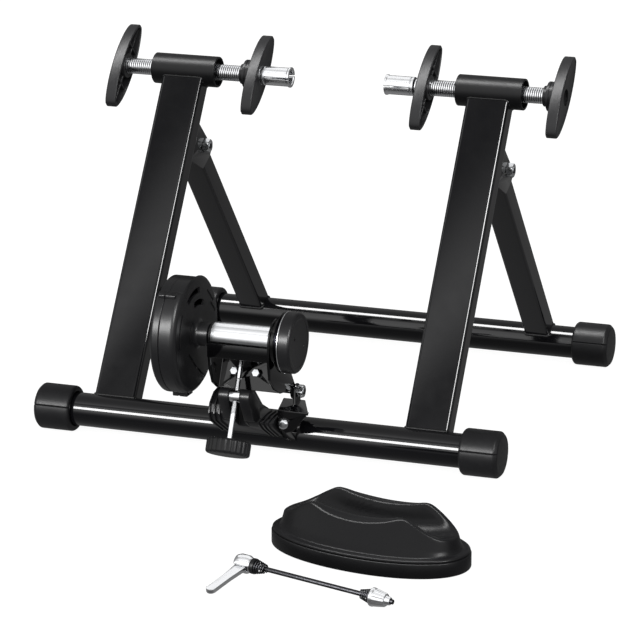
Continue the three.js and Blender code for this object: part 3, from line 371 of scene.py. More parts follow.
# %% Bright zinc
zinc, tree, shader = finish("bright_zinc", "#d8dadc", 0.22, 1.0)
cloud = pattern(tree, 5, detail=3.0)
tint(tree, shader, cloud, "#cfd1d4", "#e2e4e6")
spread(tree, shader.inputs["Roughness"], cloud, 0.17, 0.26)

# %% [markdown]
# The skewer's rod and springs are blackened steel. The same dark steel is put on the roots of the threads
# as painted shade. The brake rotor is plain aluminium, and the flywheel is blued, with only its outer
# edge turned bright.

# %% Blackened steel and aluminium
# Real blackened steel for the skewer; on the roots of the threads this dark steel is painted shade.
dark_steel_and_root_shade, tree, shader = finish("blackened_steel", "#3b3b3d", 0.38, 1.0)
tint(tree, shader, pattern(tree, 3), "#343436", "#47474a")
spread(tree, shader.inputs["Roughness"], pattern(tree, 1.5), 0.32, 0.45)
aluminium, tree, shader = finish("rolled_aluminium", "#aeb1b5", 0.36, 1.0)
spread(tree, shader.inputs["Roughness"], pattern(tree, 1.2, stretch=(1, 0.1, 1)), 0.3, 0.44)
blued_steel, tree, shader = finish("blued_steel", "#0d0d10", 0.24, 1.0)
spread(tree, shader.inputs["Roughness"], pattern(tree, 1.0, stretch=(1, 0.05, 0.05)), 0.2, 0.3)
print("finishes:", [m.name for m in bpy.data.materials if m.use_nodes])

# %% [markdown]
# ## Shapes
#
# Almost everything on the trainer was turned on a lathe, cut from sheet or drawn as a tube. Three
# functions draw those: a profile swept round X, an outline drawn out along X, and a piece of frame
# given rounded edges. Corners are eased in the profile itself, so an edge catches the light.

# %% Turning a profile
MERGE = 2e-6


def eased(points, radius, steps=3, shut=False):
    """Rounds the corners of a line of points. Short neighbours get a smaller round."""
    count = len(points)
    made = []
    for i, here in enumerate(points):
        if not shut and i in (0, count - 1):
            made.append(tuple(here))
            continue
        here, before, after = Vector(here), Vector(points[i - 1]), Vector(points[(i + 1) % count])
        into, out = before - here, after - here
        if into.length < 1e-6 or out.length < 1e-6 or abs(into.angle(out) - math.pi) < 0.1:
            made.append(tuple(here))
            continue
        reach = min(radius, into.length * 0.45, out.length * 0.45)
        start, end = here + into.normalized() * reach, here + out.normalized() * reach
        for k in range(steps + 1):
            t = k / steps
            made.append(tuple(start * (1 - t) ** 2 + here * 2 * t * (1 - t) + end * t * t))
    return made


def softened(mesh, sharp):
    """Smooth shading, up to the sharp angle."""
    mesh.shade_smooth()
    mesh.set_sharp_from_angle(angle=math.radians(sharp))


def merged(mesh, flat=None):
    """Merges points that meet. Then it turns the faces outwards, or makes flats whole."""
    work = bmesh.new()
    work.from_mesh(mesh)
    bmesh.ops.remove_doubles(work, verts=work.verts, dist=MERGE)
    if flat:
        bmesh.ops.dissolve_limit(work, angle_limit=math.radians(flat), verts=work.verts, edges=work.edges)
    else:
        bmesh.ops.recalc_face_normals(work, faces=work.faces)
    work.to_mesh(mesh)
    work.free()


def make_piece(name, verts, faces, at, coat, sharp=32):
    """A mesh object from points in millimetres and faces."""
    mesh = bpy.data.meshes.new(name)
    mesh.from_pydata([at @ Vector(v) for v in verts], [], faces)
    merged(mesh)
    softened(mesh, sharp)
    mesh.materials.append(coat)
    return linked(name, mesh)


def turned(name, profile, at, coat, sides=96, radius_at=None, angles=None, sharp=32):
    """Sweeps a profile of (radius, x) round the X axis. radius_at may change the radius by angle."""
    angles = angles or [2 * math.pi * k / sides for k in range(sides)]
    verts, faces, rings = [], [], []
    for radius, x in profile:
        if radius < 1e-6:
            rings.append([len(verts)] * len(angles))
            verts.append((x, 0, 0))
            continue
        rings.append(range(len(verts), len(verts) + len(angles)))
        for angle in angles:
            r = radius_at(radius, x, angle) if radius_at else radius
            verts.append((x, r * math.cos(angle), r * math.sin(angle)))
    for one, two in zip(rings, rings[1:]):
        for k in range(len(angles)):
            n = (k + 1) % len(angles)
            face = [one[k], one[n], two[n], two[k]]
            face = [v for i, v in enumerate(face) if v not in face[:i]]
            if len(face) > 2:
                faces.append(face)
    return make_piece(name, verts, faces, at, coat, sharp)


print("a square corner eased:", [tuple(round(c, 2) for c in p) for p in eased([(0, 0), (0, 9), (9, 9)], 2)])


# %% Outlines, lofts and plates
def shrunk(outline, by):
    """The outline moved inwards by a distance, corner by corner."""
    area = sum(a[0] * b[1] - b[0] * a[1] for a, b in zip(outline, outline[1:] + outline[:1]))
    side = 1 if area > 0 else -1
    made = []
    for i, (a, b) in enumerate(outline):
        before, after = Vector(outline[i - 1]), Vector(outline[(i + 1) % len(outline)])
        along = (after - before).normalized()
        made.append((a - along.y * by * side, b + along.x * by * side))
    return made


def loft(name, rings, at, coat, sharp=32, shut=False):
    """Skins rings of points that all have the same count. A shut loft joins its last ring to its first."""
    count, faces = len(rings[0]), []
    for row in range(len(rings) if shut else len(rings) - 1):
        one, two = row * count, (row + 1) % len(rings) * count
        faces += [[one + k, one + (k + 1) % count, two + (k + 1) % count, two + k] for k in range(count)]
    if not shut:
        faces += [list(range(count)), list(range((len(rings) - 1) * count, len(rings) * count))]
    return make_piece(name, [spot for ring in rings for spot in ring], faces, at, coat, sharp)


def quarter(radius, steps=3):
    """Height and inset along a rounded rim: from the flat face to the upright wall."""
    turn = [math.pi / 2 * k / steps for k in range(steps + 1)]
    return [(radius * (1 - math.cos(a)), radius * (1 - math.sin(a))) for a in turn]


def plate(name, outline, start, end, at, coat, edge=0.8, steps=3):
    """An outline of (y, z) drawn out along X from start to end, with rounded rims."""
    rims = quarter(edge, steps) if edge else [(0, 0)]
    layers = [(start + up, inset) for up, inset in rims]
    layers += [(end - up, inset) for up, inset in reversed(rims)]
    outlines = [(x, shrunk(outline, inset) if inset > 1e-6 else outline) for x, inset in layers]
    return loft(name, [[(x, a, b) for a, b in line] for x, line in outlines], at, coat)


print("a 1 mm rim:", [(round(up, 2), round(inset, 2)) for up, inset in quarter(1)])


# %% Modifiers, rounded copies and joins
def taken(piece):
    """The result of the piece's modifiers becomes its own plain mesh."""
    graph = bpy.context.evaluated_depsgraph_get()
    mesh = bpy.data.meshes.new_from_object(piece.evaluated_get(graph))
    piece.modifiers.clear()
    piece.data = mesh
    return mesh


def changed(piece, kind, sharp=32, **settings):
    """Adds one modifier, takes its result, and shades the piece again."""
    modifier = piece.modifiers.new(kind.lower(), kind)
    for setting, value in settings.items():
        setattr(modifier, setting, value)
    softened(taken(piece), sharp)
    return piece


def carved(piece, *cutters):
    """Cuts the cutters out of the piece."""
    for cutter in cutters:
        changed(piece, "BOOLEAN", object=cutter, operation="DIFFERENCE", solver="EXACT")
        bpy.data.objects.remove(cutter)
    return piece


def rounded_copy(node, name, coat, edge=0.8, sharp=30):
    """A copy of a frame node with its flats made whole and its hard edges rounded."""
    mesh = nodes[node].data.copy()
    mesh.materials.clear()
    merged(mesh, flat=0.6)
    mesh.materials.append(coat)
    return changed(
        linked(name, mesh), "BEVEL", sharp=sharp, width=edge * MM, segments=2, limit_method="ANGLE",
        angle_limit=math.radians(sharp), use_clamp_overlap=False, miter_outer="MITER_ARC",
    )


def joined(name, *pieces):
    """Several meshes as one object."""
    work = bmesh.new()
    coats = []
    for one in pieces:
        offset = len(coats)
        coats += list(one.data.materials)
        before = len(work.faces)
        work.from_mesh(one.data)
        work.faces.ensure_lookup_table()
        for face in work.faces[before:]:
            face.material_index += offset
    mesh = bpy.data.meshes.new(name)
    work.to_mesh(mesh)
    work.free()
    for coat in coats:
        mesh.materials.append(coat)
    for one in pieces:
        bpy.data.objects.remove(one)
    return linked(name, mesh)


def settle(piece, body, slot, *stands_for):
    """The piece rides on its body and hides the frame nodes it stands for. slot is not used."""
    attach(piece, body)
    if stands_for:
        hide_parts(*stands_for)
    return piece


def lathed(name, profile, ease, at, coat, sides, body, slot, node):
    """A turned piece with eased corners that stands for its node."""
    return settle(turned(name, eased(profile, *ease), at, coat, sides), body, slot, node)


def copied(node, name, coat, edge, body, slot):
    """A rounded copy that stands for its node."""
    return settle(rounded_copy(node, name, coat, edge), body, slot, node)


print("tools for shapes are ready")

# %% [markdown]
# ## Trees that repeat a shape
#
# Threads, springs and weld beads all follow a rule, so Geometry Nodes draw them. Each tree has named
# inputs for its real sizes. Its result is taken as a plain mesh and the modifier goes away again.

# %% Start and run a tree
def new_tree(name, **sizes):
    """A Geometry Nodes tree with a geometry input, named number inputs and its two end nodes."""
    tree = bpy.data.node_groups.new(name, "GeometryNodeTree")
    tree.interface.new_socket("Geometry", in_out="INPUT", socket_type="NodeSocketGeometry")
    for size, value in sizes.items():
        kind = "NodeSocketInt" if isinstance(value, int) else "NodeSocketFloat"
        tree.interface.new_socket(size, in_out="INPUT", socket_type=kind).default_value = value
    tree.interface.new_socket("Coat", in_out="INPUT", socket_type="NodeSocketMaterial")
    tree.interface.new_socket("Geometry", in_out="OUTPUT", socket_type="NodeSocketGeometry")
    return tree, tree.nodes.new("NodeGroupInput").outputs


def close_tree(tree, geometry, given):
    """Ends a tree in Realize Instances and Set Material."""
    real = add(tree, "GeometryNodeRealizeInstances", {0: geometry})
    coated = add(tree, "GeometryNodeSetMaterial", {"Geometry": real.outputs[0], "Material": given["Coat"]})
    add(tree, "NodeGroupOutput", {0: coated.outputs[0]})


def sum_of(tree, operation, first, second=0.0):
    """One line of arithmetic inside a tree."""
    return add(tree, "ShaderNodeMath", {0: first, 1: second}, operation=operation).outputs[0]


def grow(name, tree, at, coat, start=None, sharp=40, **sizes):
    """Runs a tree on an empty mesh, or on a start mesh, and returns its result as a plain piece."""
    piece = linked(name, start or bpy.data.meshes.new(name))
    modifier = piece.modifiers.new("tree", "NODES")
    modifier.node_group = tree
    given = {"Coat": coat, **sizes}
    for socket in tree.interface.items_tree:
        if socket.in_out == "INPUT" and socket.name in given:
            modifier[socket.identifier] = given[socket.name]
    taken(piece).transform(at)
    softened(piece.data, sharp)
    return piece


print("tools for trees are ready")

# %% [markdown]
# A screw thread is one ridge that climbs round the rod. The tree winds a helix, turns its normals
# straight out, and sweeps a trapezoid along it, so the mesh follows the ridge and its edges stay clean.
# Inside the ridge lies a plain rod in dark steel: painted shade for the roots, which lie in shade between the
# turns.

# %% Thread tree
DEPTH, ROOT, CREST = 0.62, 0.74, 0.52  # shares of the pitch
tree, given = new_tree("wind_thread", Radius=9.25, Length=100.0, Pitch=2.5)
depth = sum_of(tree, "MULTIPLY", given["Pitch"], DEPTH)
on_ridge = sum_of(tree, "SUBTRACT", given["Radius"], sum_of(tree, "MULTIPLY", depth, 0.5))
helix = add(tree, "GeometryNodeCurveSpiral", {
    "Resolution": 48, "Rotations": sum_of(tree, "DIVIDE", given["Length"], given["Pitch"]),
    "Start Radius": on_ridge, "End Radius": on_ridge, "Height": given["Length"],
})
helix = add(tree, "GeometryNodeSetCurveNormal", {"Curve": helix.outputs[0]}, mode="Z_UP")
ridge = add(tree, "GeometryNodeCurvePrimitiveQuadrilateral", {
    "Height": depth, "Bottom Width": sum_of(tree, "MULTIPLY", given["Pitch"], ROOT),
    "Top Width": sum_of(tree, "MULTIPLY", given["Pitch"], CREST), "Offset": 0.0,
}, mode="TRAPEZOID")
upright = {"Geometry": ridge.outputs[0], "Rotation": (0, 0, math.pi / 2)}
ridge = add(tree, "GeometryNodeTransform", upright)
wound = add(tree, "GeometryNodeCurveToMesh", {
    "Curve": helix.outputs[0], "Profile Curve": ridge.outputs[0], "Fill Caps": True,
})
close_tree(tree, wound.outputs[0], given)
thread_tree = tree


def threaded(name, radius, start, end, pitch, at, coat):
    """A threaded length along X: a rod darkened as painted shade for the roots, and the ridge wound along Z
    and turned down.
    """
    down = at @ Matrix.Translation((start, 0, 0)) @ turn_about("Y", 90)
    wind = grow("ridge", thread_tree, down @ Matrix.Translation((0, 0, pitch * 0.5)), coat,
                Radius=radius, Length=end - start - pitch, Pitch=pitch)
    # Dark steel under the ridge: painted shade for the roots between the turns.
    core = radius - pitch * DEPTH + 0.1
    body = [(0, start), (core, start), (core, end), (0, end)]
    return joined(name, wind, turned("core", eased(body, 0.3, 1), at, dark_steel_and_root_shade, 48))


print("thread tree:", len(thread_tree.nodes), "nodes")

# %% [markdown]
# A spring is a round wire swept along a spiral. A weld bead is a round swept along the joint, with a
# ripple about every two millimetres, where the torch paused.

# %% Spring tree and weld tree
tree, given = new_tree("wind_spring", Start=6.4, End=3.6, Height=11.0, Wire=0.6, Turns=5)
coil = add(tree, "GeometryNodeCurveSpiral", {
    "Resolution": 40, "Rotations": given["Turns"], "Height": given["Height"],
    "Start Radius": given["Start"], "End Radius": given["End"],
})
wire = add(tree, "GeometryNodeCurvePrimitiveCircle", {"Resolution": 10, "Radius": given["Wire"]})
swept = add(tree, "GeometryNodeCurveToMesh", {
    "Curve": coil.outputs[0], "Profile Curve": wire.outputs[0], "Fill Caps": True,
})
close_tree(tree, swept.outputs[0], given)
spring_tree = tree

STEP, SWELL = 0.45, 0.09
tree, given = new_tree("lay_weld", Bead=1.8, Ripple=2.2)
path = add(tree, "GeometryNodeMeshToCurve", {0: given["Geometry"]})
path = add(tree, "GeometryNodeResampleCurve", {"Curve": path.outputs[0], "Length": STEP}, mode="LENGTH")
run = add(tree, "GeometryNodeSplineParameter").outputs["Length"]
ripples = sum_of(tree, "DIVIDE", run, given["Ripple"])
wave = sum_of(tree, "SINE", sum_of(tree, "MULTIPLY", ripples, math.tau))
swell = sum_of(tree, "MULTIPLY_ADD", wave, SWELL)
swell.node.inputs[2].default_value = 1.0
beaded = add(tree, "GeometryNodeSetCurveRadius", {"Curve": path.outputs[0], "Radius": swell})
round_bead = add(tree, "GeometryNodeCurvePrimitiveCircle", {"Resolution": 10, "Radius": given["Bead"]})
laid = add(tree, "GeometryNodeCurveToMesh", {
    "Curve": beaded.outputs[0], "Profile Curve": round_bead.outputs[0],
})
if "Scale" in laid.inputs:
    tree.links.new(swell, laid.inputs["Scale"])
close_tree(tree, laid.outputs[0], given)
weld_tree = tree


def weld(name, points, at, bead):
    """A bead along a closed line of points."""
    line = bpy.data.meshes.new(name)
    line.from_pydata(points, [(i, (i + 1) % len(points)) for i in range(len(points))], [])
    return grow(name, weld_tree, at, gloss_coat, start=line, sharp=60, Bead=bead)


print("trees:", [t.name for t in bpy.data.node_groups])

# %% [markdown]
# ## Cross tubes and feet
#
# Two 38 mm steel tubes carry the trainer, each in two vinyl feet. The tubes are turned shapes with a
# real wall, because their ends can be looked into when a foot is off. Each foot has four shallow
# lengthwise grooves, left by the four slides of its mould.

# %% Tubes and feet
TUBE_RADIUS, TUBE_WALL, TUBE_LENGTH = 19, 1.5, 536
AIR = 0.3
FOOT_SOCKET = 38
FOOT_GROOVES, GROOVE_DEPTH, GROOVE_HALF = (72, 162, 252, 342), 1.1, 2.4
FOOT_PROFILE = [
    (0, 44), (22, 44), (26, 40), (26, 2.5), (24, 0), (20.4, 0), (19.4, 1.2), (19.3, FOOT_SOCKET),
    (0, FOOT_SOCKET),
]


def cross_tube(name, node, y, body):
    r, half = TUBE_RADIUS, TUBE_LENGTH / 2
    profile = [(r - TUBE_WALL, -half), (r, -half), (r, half), (r - TUBE_WALL, half), (r - TUBE_WALL, -half)]
    lathed(name, profile, (0.5, 2), place(0, y, tube_z), gloss_coat, 96, body, "gloss_black_paint", node)


def foot(name, node, y, side, body):
    mouth = TUBE_LENGTH / 2 + AIR - FOOT_SOCKET
    spin = turn_about("Z", 180 if side < 0 else 0)
    grooves = [g if side > 0 else 180 - g for g in FOOT_GROOVES]

    def dipped(radius, x, angle):
        if radius < 21 or x < 0.5:
            return radius
        off = min(abs((math.degrees(angle) - g + 180) % 360 - 180) for g in grooves)
        return radius - GROOVE_DEPTH * max(0.0, 1 - off / GROOVE_HALF)

    angles = sorted(
        {math.radians(k * 3) for k in range(120)}
        | {math.radians((g + d) % 360) for g in grooves for d in (-GROOVE_HALF, -1.0, 0, 1.0, GROOVE_HALF)}
    )
    made = turned(name, eased(FOOT_PROFILE, 1.4, 4), place(side * mouth, y, tube_z, spin), vinyl,
                  radius_at=dipped, angles=angles, sharp=38)
    return settle(made, body, "black_rubber", node)


cross_tube("main_cross_tube_coated", "main_cross_tube", main_y, "main_frame")
cross_tube("fold_cross_tube_coated", "fold_cross_tube", fold_y, "fold_frame")
for end, side in (("left", -1), ("right", 1)):
    foot(f"main_{end}_foot", f"main_{end}_foot_cap", main_y, side, "main_frame")
    foot(f"fold_{end}_foot", f"fold_{end}_foot_cap", fold_y, side, "fold_frame")
print("tubes and feet made")

# %% [markdown]
# ## Legs
#
# The legs are rectangular steel tube, coped round what they are welded to. Each is drawn as a hollow
# prism in its own frame, cut by the round it meets, and welded by a rippled bead that follows the
# exact line where the two surfaces meet.

# %% Leg shapes
AXLE_Y, AXLE_Z = 8, 375.6
HINGE_Y, HINGE_Z = 10, 286.5
LEG_X, LEG_WALL, LEG_START = 185.3, 1.5, 10
SLEEVE_RADIUS, COPE_ROOM = 18, 0.15
main_foot, fold_foot = (main_y + 6.2, tube_z), (fold_y + 8.2, tube_z)


def lean_of(low, high):
    """How far a line from low to high leans from upright, in radians."""
    return math.atan2(high[0] - low[0], high[1] - low[1])


main_lean = lean_of(main_foot, (AXLE_Y, AXLE_Z))
fold_lean = lean_of(fold_foot, (HINGE_Y, HINGE_Z))


def rounded_box(width, depth, corner, steps=8):
    made = []
    for part, (sx, sy) in enumerate(((1, 1), (-1, 1), (-1, -1), (1, -1))):
        for k in range(steps + 1):
            a = math.pi / 2 * (part + k / steps)
            x, y = sx * (width / 2 - corner), sy * (depth / 2 - corner)
            made.append((x + corner * math.cos(a), y + corner * math.sin(a)))
    return made


def leg_tube(name, size, x, foot_at, lean, length):
    """A hollow prism from a little way up the leg's line. Returns it and its outline."""
    width, depth, corner = size
    outline = rounded_box(width, depth, corner)
    inner = rounded_box(width - 2 * LEG_WALL, depth - 2 * LEG_WALL, corner - LEG_WALL)
    walls = ((outline, LEG_START), (outline, length), (inner, length), (inner, LEG_START))
    rings = [[(a, b, z) for a, b in ring] for ring, z in walls]
    at = place(x, *foot_at, turn_about("X", -math.degrees(lean)))
    return loft(name, rings, at, gloss_coat, 40, shut=True), outline


def round_cutter(radius, x, y, z, half):
    profile = [(0, -half), (radius, -half), (radius, half), (0, half)]
    return turned("cutter", profile, place(x, y, z), gloss_coat)


def meeting_line(outline, foot_at, lean, centre, radius, from_above):
    """Where a leg's outer skin meets a round bar along X: points in millimetres from the stance."""
    away, up = Vector((math.cos(lean), -math.sin(lean))), Vector((math.sin(lean), math.cos(lean)))
    made = []
    for a, b in outline:
        start = Vector(foot_at) + away * b
        d = start - Vector(centre)
        root = math.sqrt(max(0.0, d.dot(up) ** 2 - d.length_squared + radius ** 2))
        spot = start + up * (-d.dot(up) + (root if from_above else -root))
        made.append((a, spot.x, spot.y))
    return made


print("legs lean", round(math.degrees(main_lean), 1), "and", round(math.degrees(fold_lean), 1), "degrees")

# %% Legs and welds
main_reach = math.hypot(AXLE_Y - main_foot[0], AXLE_Z - tube_z)
fold_reach = math.hypot(fold_foot[0] - HINGE_Y, HINGE_Z - tube_z) + 20
for end, side in (("left", -1), ("right", 1)):
    x = side * LEG_X
    leg, outline = leg_tube(f"{end}_main_leg_coated", (50, 25, 4.2), x, main_foot, main_lean, main_reach)
    carved(leg, round_cutter(SLEEVE_RADIUS + COPE_ROOM, x, AXLE_Y, AXLE_Z, 50),
           round_cutter(TUBE_RADIUS + COPE_ROOM, x, main_y, tube_z, 50))
    settle(leg, "main_frame", "gloss_black_paint", f"{end}_main_leg")
    top_line = meeting_line(outline, main_foot, main_lean, (AXLE_Y, AXLE_Z), SLEEVE_RADIUS + 0.1, False)
    low_line = meeting_line(outline, main_foot, main_lean, (main_y, tube_z), TUBE_RADIUS + 0.2, True)
    beads = weld("bead", top_line, place(x), 1.1), weld("bead", low_line, place(x), 1.4)
    settle(joined(f"{end}_main_leg_welds", *beads), "main_frame", "gloss_black_paint")
    leg, outline = leg_tube(f"{end}_fold_leg_coated", (30, 26, 3.2), x, fold_foot, fold_lean, fold_reach)
    carved(leg, round_cutter(TUBE_RADIUS + COPE_ROOM, x, fold_y, tube_z, 40),
           round_cutter(4.3, x, HINGE_Y, HINGE_Z, 40))
    settle(leg, "fold_frame", "gloss_black_paint", f"{end}_fold_leg")
    line = meeting_line(outline, fold_foot, fold_lean, (fold_y, tube_z), TUBE_RADIUS + 0.6, True)
    settle(weld(f"{end}_fold_leg_weld", line, place(x), 1.6), "fold_frame", "gloss_black_paint")
print("legs reach", round(main_reach, 1), "and", round(fold_reach, 1), "mm")

# %% [markdown]
# ## Axle sleeves
#
# A short heavy tube sits across the top of each leg, with a threaded bush pressed into it. From the
# side the bush shows as a bright ring a few millimetres inside the sleeve.

# %% Sleeves and bushes
def ring_profile(inner, outer, start, end):
    """A plain ring as a closed profile."""
    return [(inner, start), (outer, start), (outer, end), (inner, end), (inner, start)]


for end, side in (("left", -1), ("right", 1)):
    at = place(side * LEG_X, AXLE_Y, AXLE_Z)
    sleeve = ring_profile(SLEEVE_RADIUS - 2.5, SLEEVE_RADIUS, -39.2, 39.2)
    lathed(f"{end}_sleeve", sleeve, (1.0, 4), at, satin_coat, 96, "main_frame", "gloss_black_paint",
           f"{end}_axle_sleeve")
    bush = ring_profile(9.6, 15.1, -31.2, 31.2)
    lathed(f"{end}_bush", bush, (0.8, 3), at, zinc, 96, "main_frame", "zinc_steel", f"{end}_thread_bush")
print("sleeves", SLEEVE_RADIUS * 2, "mm across")

# %% [markdown]
# ## Hinge brackets and their bolts
#
# Each bracket is a folded channel of 3 mm plate. It keeps the frame's outline and gets rounded edges.
# Bolts and nuts share one shape: a hexagon whose corners are turned off on a cone, with a shank.

# %% Hexagon heads, hinge brackets and bolts
def hexagon(name, across, start, end, at, coat, bore=0.0):
    """A hexagon along X. A cone turns its corners down, more at the start than at the end."""
    corner, ease = across / 2 / math.cos(math.pi / 6), 0.198 * (end - start)
    profile = [
        (bore, start), (corner * 0.9, start), (corner, start + ease), (corner, end - ease * 0.4),
        (corner * 0.955, end), (bore, end),
    ]
    if bore:
        profile.append((bore, start))

    def flats(radius, x, angle):
        return min(radius, across / 2 / math.cos(angle % (math.pi / 3) - math.pi / 6))

    return turned(name, profile, at, coat, 72, radius_at=flats, sharp=25)


HINGE_FACE = 19.8
for end, side in (("left", -1), ("right", 1)):
    copied(f"{end}_hinge_bracket", f"{end}_hinge_plate", gloss_coat, 0.7, "main_frame", "gloss_black_paint")
    at = place(side * LEG_X, HINGE_Y, HINGE_Z, turn_about("X", -math.degrees(main_lean)))
    head = hexagon("head", 15, -HINGE_FACE - 5.3, -HINGE_FACE, at, zinc)
    shank = threaded("shank", 4, -HINGE_FACE - 0.5, HINGE_FACE + 8, 1.25, at, zinc)
    settle(joined(f"{end}_hinge_bolt_cut", head, shank), "main_frame", "zinc_steel", f"{end}_hinge_bolt")
    nut = hexagon(f"{end}_hinge_nut_cut", 15, HINGE_FACE + 7, HINGE_FACE, at, zinc, bore=4.2)
    settle(nut, "main_frame", "zinc_steel", f"{end}_hinge_nut")
print("hinge bolts M8")

# %% [markdown]
# ## Axle clamps
#
# Each clamp is a threaded rod with a slit cup at its inner end, an eye-shaped handle at its outer end,
# and a lock knob that jams against the sleeve. The four knobs are one moulding: closed on one face,
# hollow on the other, with a hub and thin ribs. The shell is skinned from shrinking copies of its
# outline, so the outer round, the rim and the pocket are one surface.

# %% Knobs
KNOB_THICK, KNOB_WIDTH, KNOB_FLOOR = 13, 36, 3.4


def lens(half_length, half_width, points=30):
    """An eye-shaped outline of (y, z) with short flat ends, its two end corners eased."""
    blunt = half_width * 0.13
    side = []
    for k in range(points + 1):
        a = math.pi * k / points
        side.append((blunt + (half_width - blunt) * math.sin(a) ** 1.35, -half_length * math.cos(a)))
    return side + [(-w, -z) for w, z in side]


def knob(name, at, length, necked, bore):
    half, wide = length / 2, KNOB_WIDTH / 2
    steps = [(3.4, 0.7), (2.7, 0.55), (2.2, 0.12), (1.7, 0.0)]
    steps += [(inset, up) for up, inset in quarter(1.7, 4)][1:]
    steps += [(inset, KNOB_THICK - up) for up, inset in reversed(quarter(1.1, 3))]
    steps += [(2.3, KNOB_THICK - 0.1), (2.65, KNOB_THICK - 0.5), (2.8, KNOB_THICK - 1.2)]
    steps += [(3.1, KNOB_FLOOR + 1.6), (3.5, KNOB_FLOOR + 0.5), (4.6, KNOB_FLOOR)]
    rings = [[(x, a, b) for a, b in lens(half - 1.5 * inset, wide - inset)] for inset, x in steps]
    shell = loft("shell", rings, at, nylon, 40)
    top = KNOB_THICK + (12.5 if necked else 0)
    if necked:
        neck = KNOB_THICK + 7.5
        hub = [
            (bore, 1.2), (17, 1.2), (17, neck - 4.4), (16, neck - 4.4), (16, neck - 3.2),
            (17, neck - 3.2), (17, neck), (12.6, neck), (12.6, neck + 1), (11.8, neck + 1), (11.8, top),
            (bore, top), (bore, 1.2),
        ]
    else:
        hub = [(bore, 1.2), (14.6, 1.2), (14.4, KNOB_THICK - 0.2), (bore, KNOB_THICK - 0.2), (bore, 1.2)]
    parts = [turned("hub", eased(hub, 0.5, 2), at, nylon, 64)]
    for y0, y1, z0, z1 in (
        (-1.1, 1.1, 13, half - 6), (-1.1, 1.1, 6 - half, -13), (-12.5, 12.5, 24, 26), (-12.5, 12.5, -26, -24),
    ):
        corners = [(y0, z0), (y1, z0), (y1, z1), (y0, z1)]
        parts.append(plate("rib", corners, KNOB_FLOOR - 1, KNOB_THICK - 2.2, at, nylon, 0.4, 2))
    cutter = turned("bore", [(0, -1), (bore, -1), (bore, top + 1), (0, top + 1)], at, nylon, 64)
    return joined(name, carved(shell, cutter), *parts)


print("knobs", KNOB_WIDTH, "mm wide and", KNOB_THICK, "mm thick")
# %% [markdown]
# The rods carry a coarse thread of 2.5 mm pitch, read from the photograph where two turns span four
# pixels. The cups are turned, with a fine groove at the collar and a slit that lets them spring.

# %% Cups, rods, inserts and knobs in place
CUP = [
    (0, 12.5), (8.2, 12.5), (8.2, 33), (8.6, 34.5), (11.9, 34.5), (11.9, 32.4), (11, 31.4), (11, 4), (10, 4),
    (10, 3), (11, 3), (11, 0), (5.3, 0), (5.3, 7.3), (0, 7.3),
]
SLIT = [(-14, -0.9), (14, -0.9), (14, 0.9), (-14, 0.9)]
CUP_LENGTH, LONG_KNOB, SHORT_KNOB, ROD_RADIUS, ROD_PITCH = 34.5, 113, 107, 9.25, 2.5
STATIONS = {"left": (56.2, 91.6, False), "right": (59.5, 100.0, True)}
HANDLE_BACK = 259.8 + KNOB_THICK

for end, side in (("left", -1), ("right", 1)):
    cup_tip, lock_face, handle_necked = STATIONS[end]
    turn = turn_about("Z", 180 if side < 0 else 0)
    tilt = turn_about("X", -side * 45)
    inwards = turn @ Matrix.Translation((cup_tip + CUP_LENGTH, 0, 0)) @ turn_about("Y", 180)
    cup_at = place(0, AXLE_Y, AXLE_Z, inwards)
    cup = turned("cup", eased(CUP, 0.5, 2), cup_at, turned_chrome)
    slit = plate("slit", SLIT, 14.5, 36, cup_at, turned_chrome, 0)
    settle(changed(carved(cup, slit), "WEIGHTED_NORMAL"), f"{end}_cup", "chrome_steel", f"{end}_axle_cup")
    rod_from, rod_to = cup_tip + CUP_LENGTH + AIR, HANDLE_BACK - KNOB_FLOOR - AIR
    rod_at = place(0, AXLE_Y, AXLE_Z, turn)
    spigot = [(0, -7), (5, -7), (5, 0), (7.6, 0), (7.6, 1), (0, 1)]
    spigot = [(radius, rod_from + x) for radius, x in spigot]
    cut_rod = threaded("thread", ROD_RADIUS, rod_from, rod_to, ROD_PITCH, rod_at, turned_chrome)
    rod = joined(f"{end}_rod", cut_rod, turned("spigot", eased(spigot, 0.3, 2), rod_at, zinc, 48))
    settle(rod, f"{end}_screw", "zinc_steel", f"{end}_threaded_rod")
    outwards = turn @ Matrix.Translation((HANDLE_BACK, 0, 0)) @ tilt @ turn_about("Y", 180)
    handle_length, lock_length = (SHORT_KNOB, LONG_KNOB) if handle_necked else (LONG_KNOB, SHORT_KNOB)
    handle = knob(f"{end}_handle", place(0, AXLE_Y, AXLE_Z, outwards), handle_length, handle_necked, 9.6)
    settle(handle, f"{end}_screw", "satin_black_plastic", f"{end}_handle_knob")
    lock_at = place(0, AXLE_Y, AXLE_Z, turn @ Matrix.Translation((lock_face, 0, 0)) @ tilt)
    lock = knob(f"{end}_lock", lock_at, lock_length, not handle_necked, 9.9)
    settle(lock, f"{end}_lock", "satin_black_plastic", f"{end}_lock_knob")
    lathed(f"{end}_insert", ring_profile(9.6, 11, 0, 9), (0.3, 2), lock_at, zinc, 96, f"{end}_lock_carrier",
           "zinc_steel", f"{end}_lock_insert")
print("clamps made")

# %% [markdown]
# ## The roller line
#
# The roller, its shaft, the bearings and the flywheel all turn on one axis. A plastic cap hides the
# flywheel, and only a thin line of its steel edge shows.

# %% Roller, shaft, bearings, flywheel and cap
PIVOT_Y, PIVOT_Z = main_y - 11.5, tube_z + 52.6
ROLLER_Y, ROLLER_Z = PIVOT_Y - 55.8, PIVOT_Z + 71.7
roller_at = place(0, ROLLER_Y, ROLLER_Z)

BORE = 5.3
roller = ring_profile(BORE, 15, -34.5, 34.5)
lathed("roller_turned", roller, (0.9, 4), roller_at, turned_chrome, 128, "spinner", "chrome_steel", "roller")
shaft = [(0, -73.5), (5, -73.5), (5, 58), (0, 58)]
lathed("shaft_ground", shaft, (0.8, 2), roller_at, zinc, 64, "spinner", "zinc_steel", "roller_shaft")


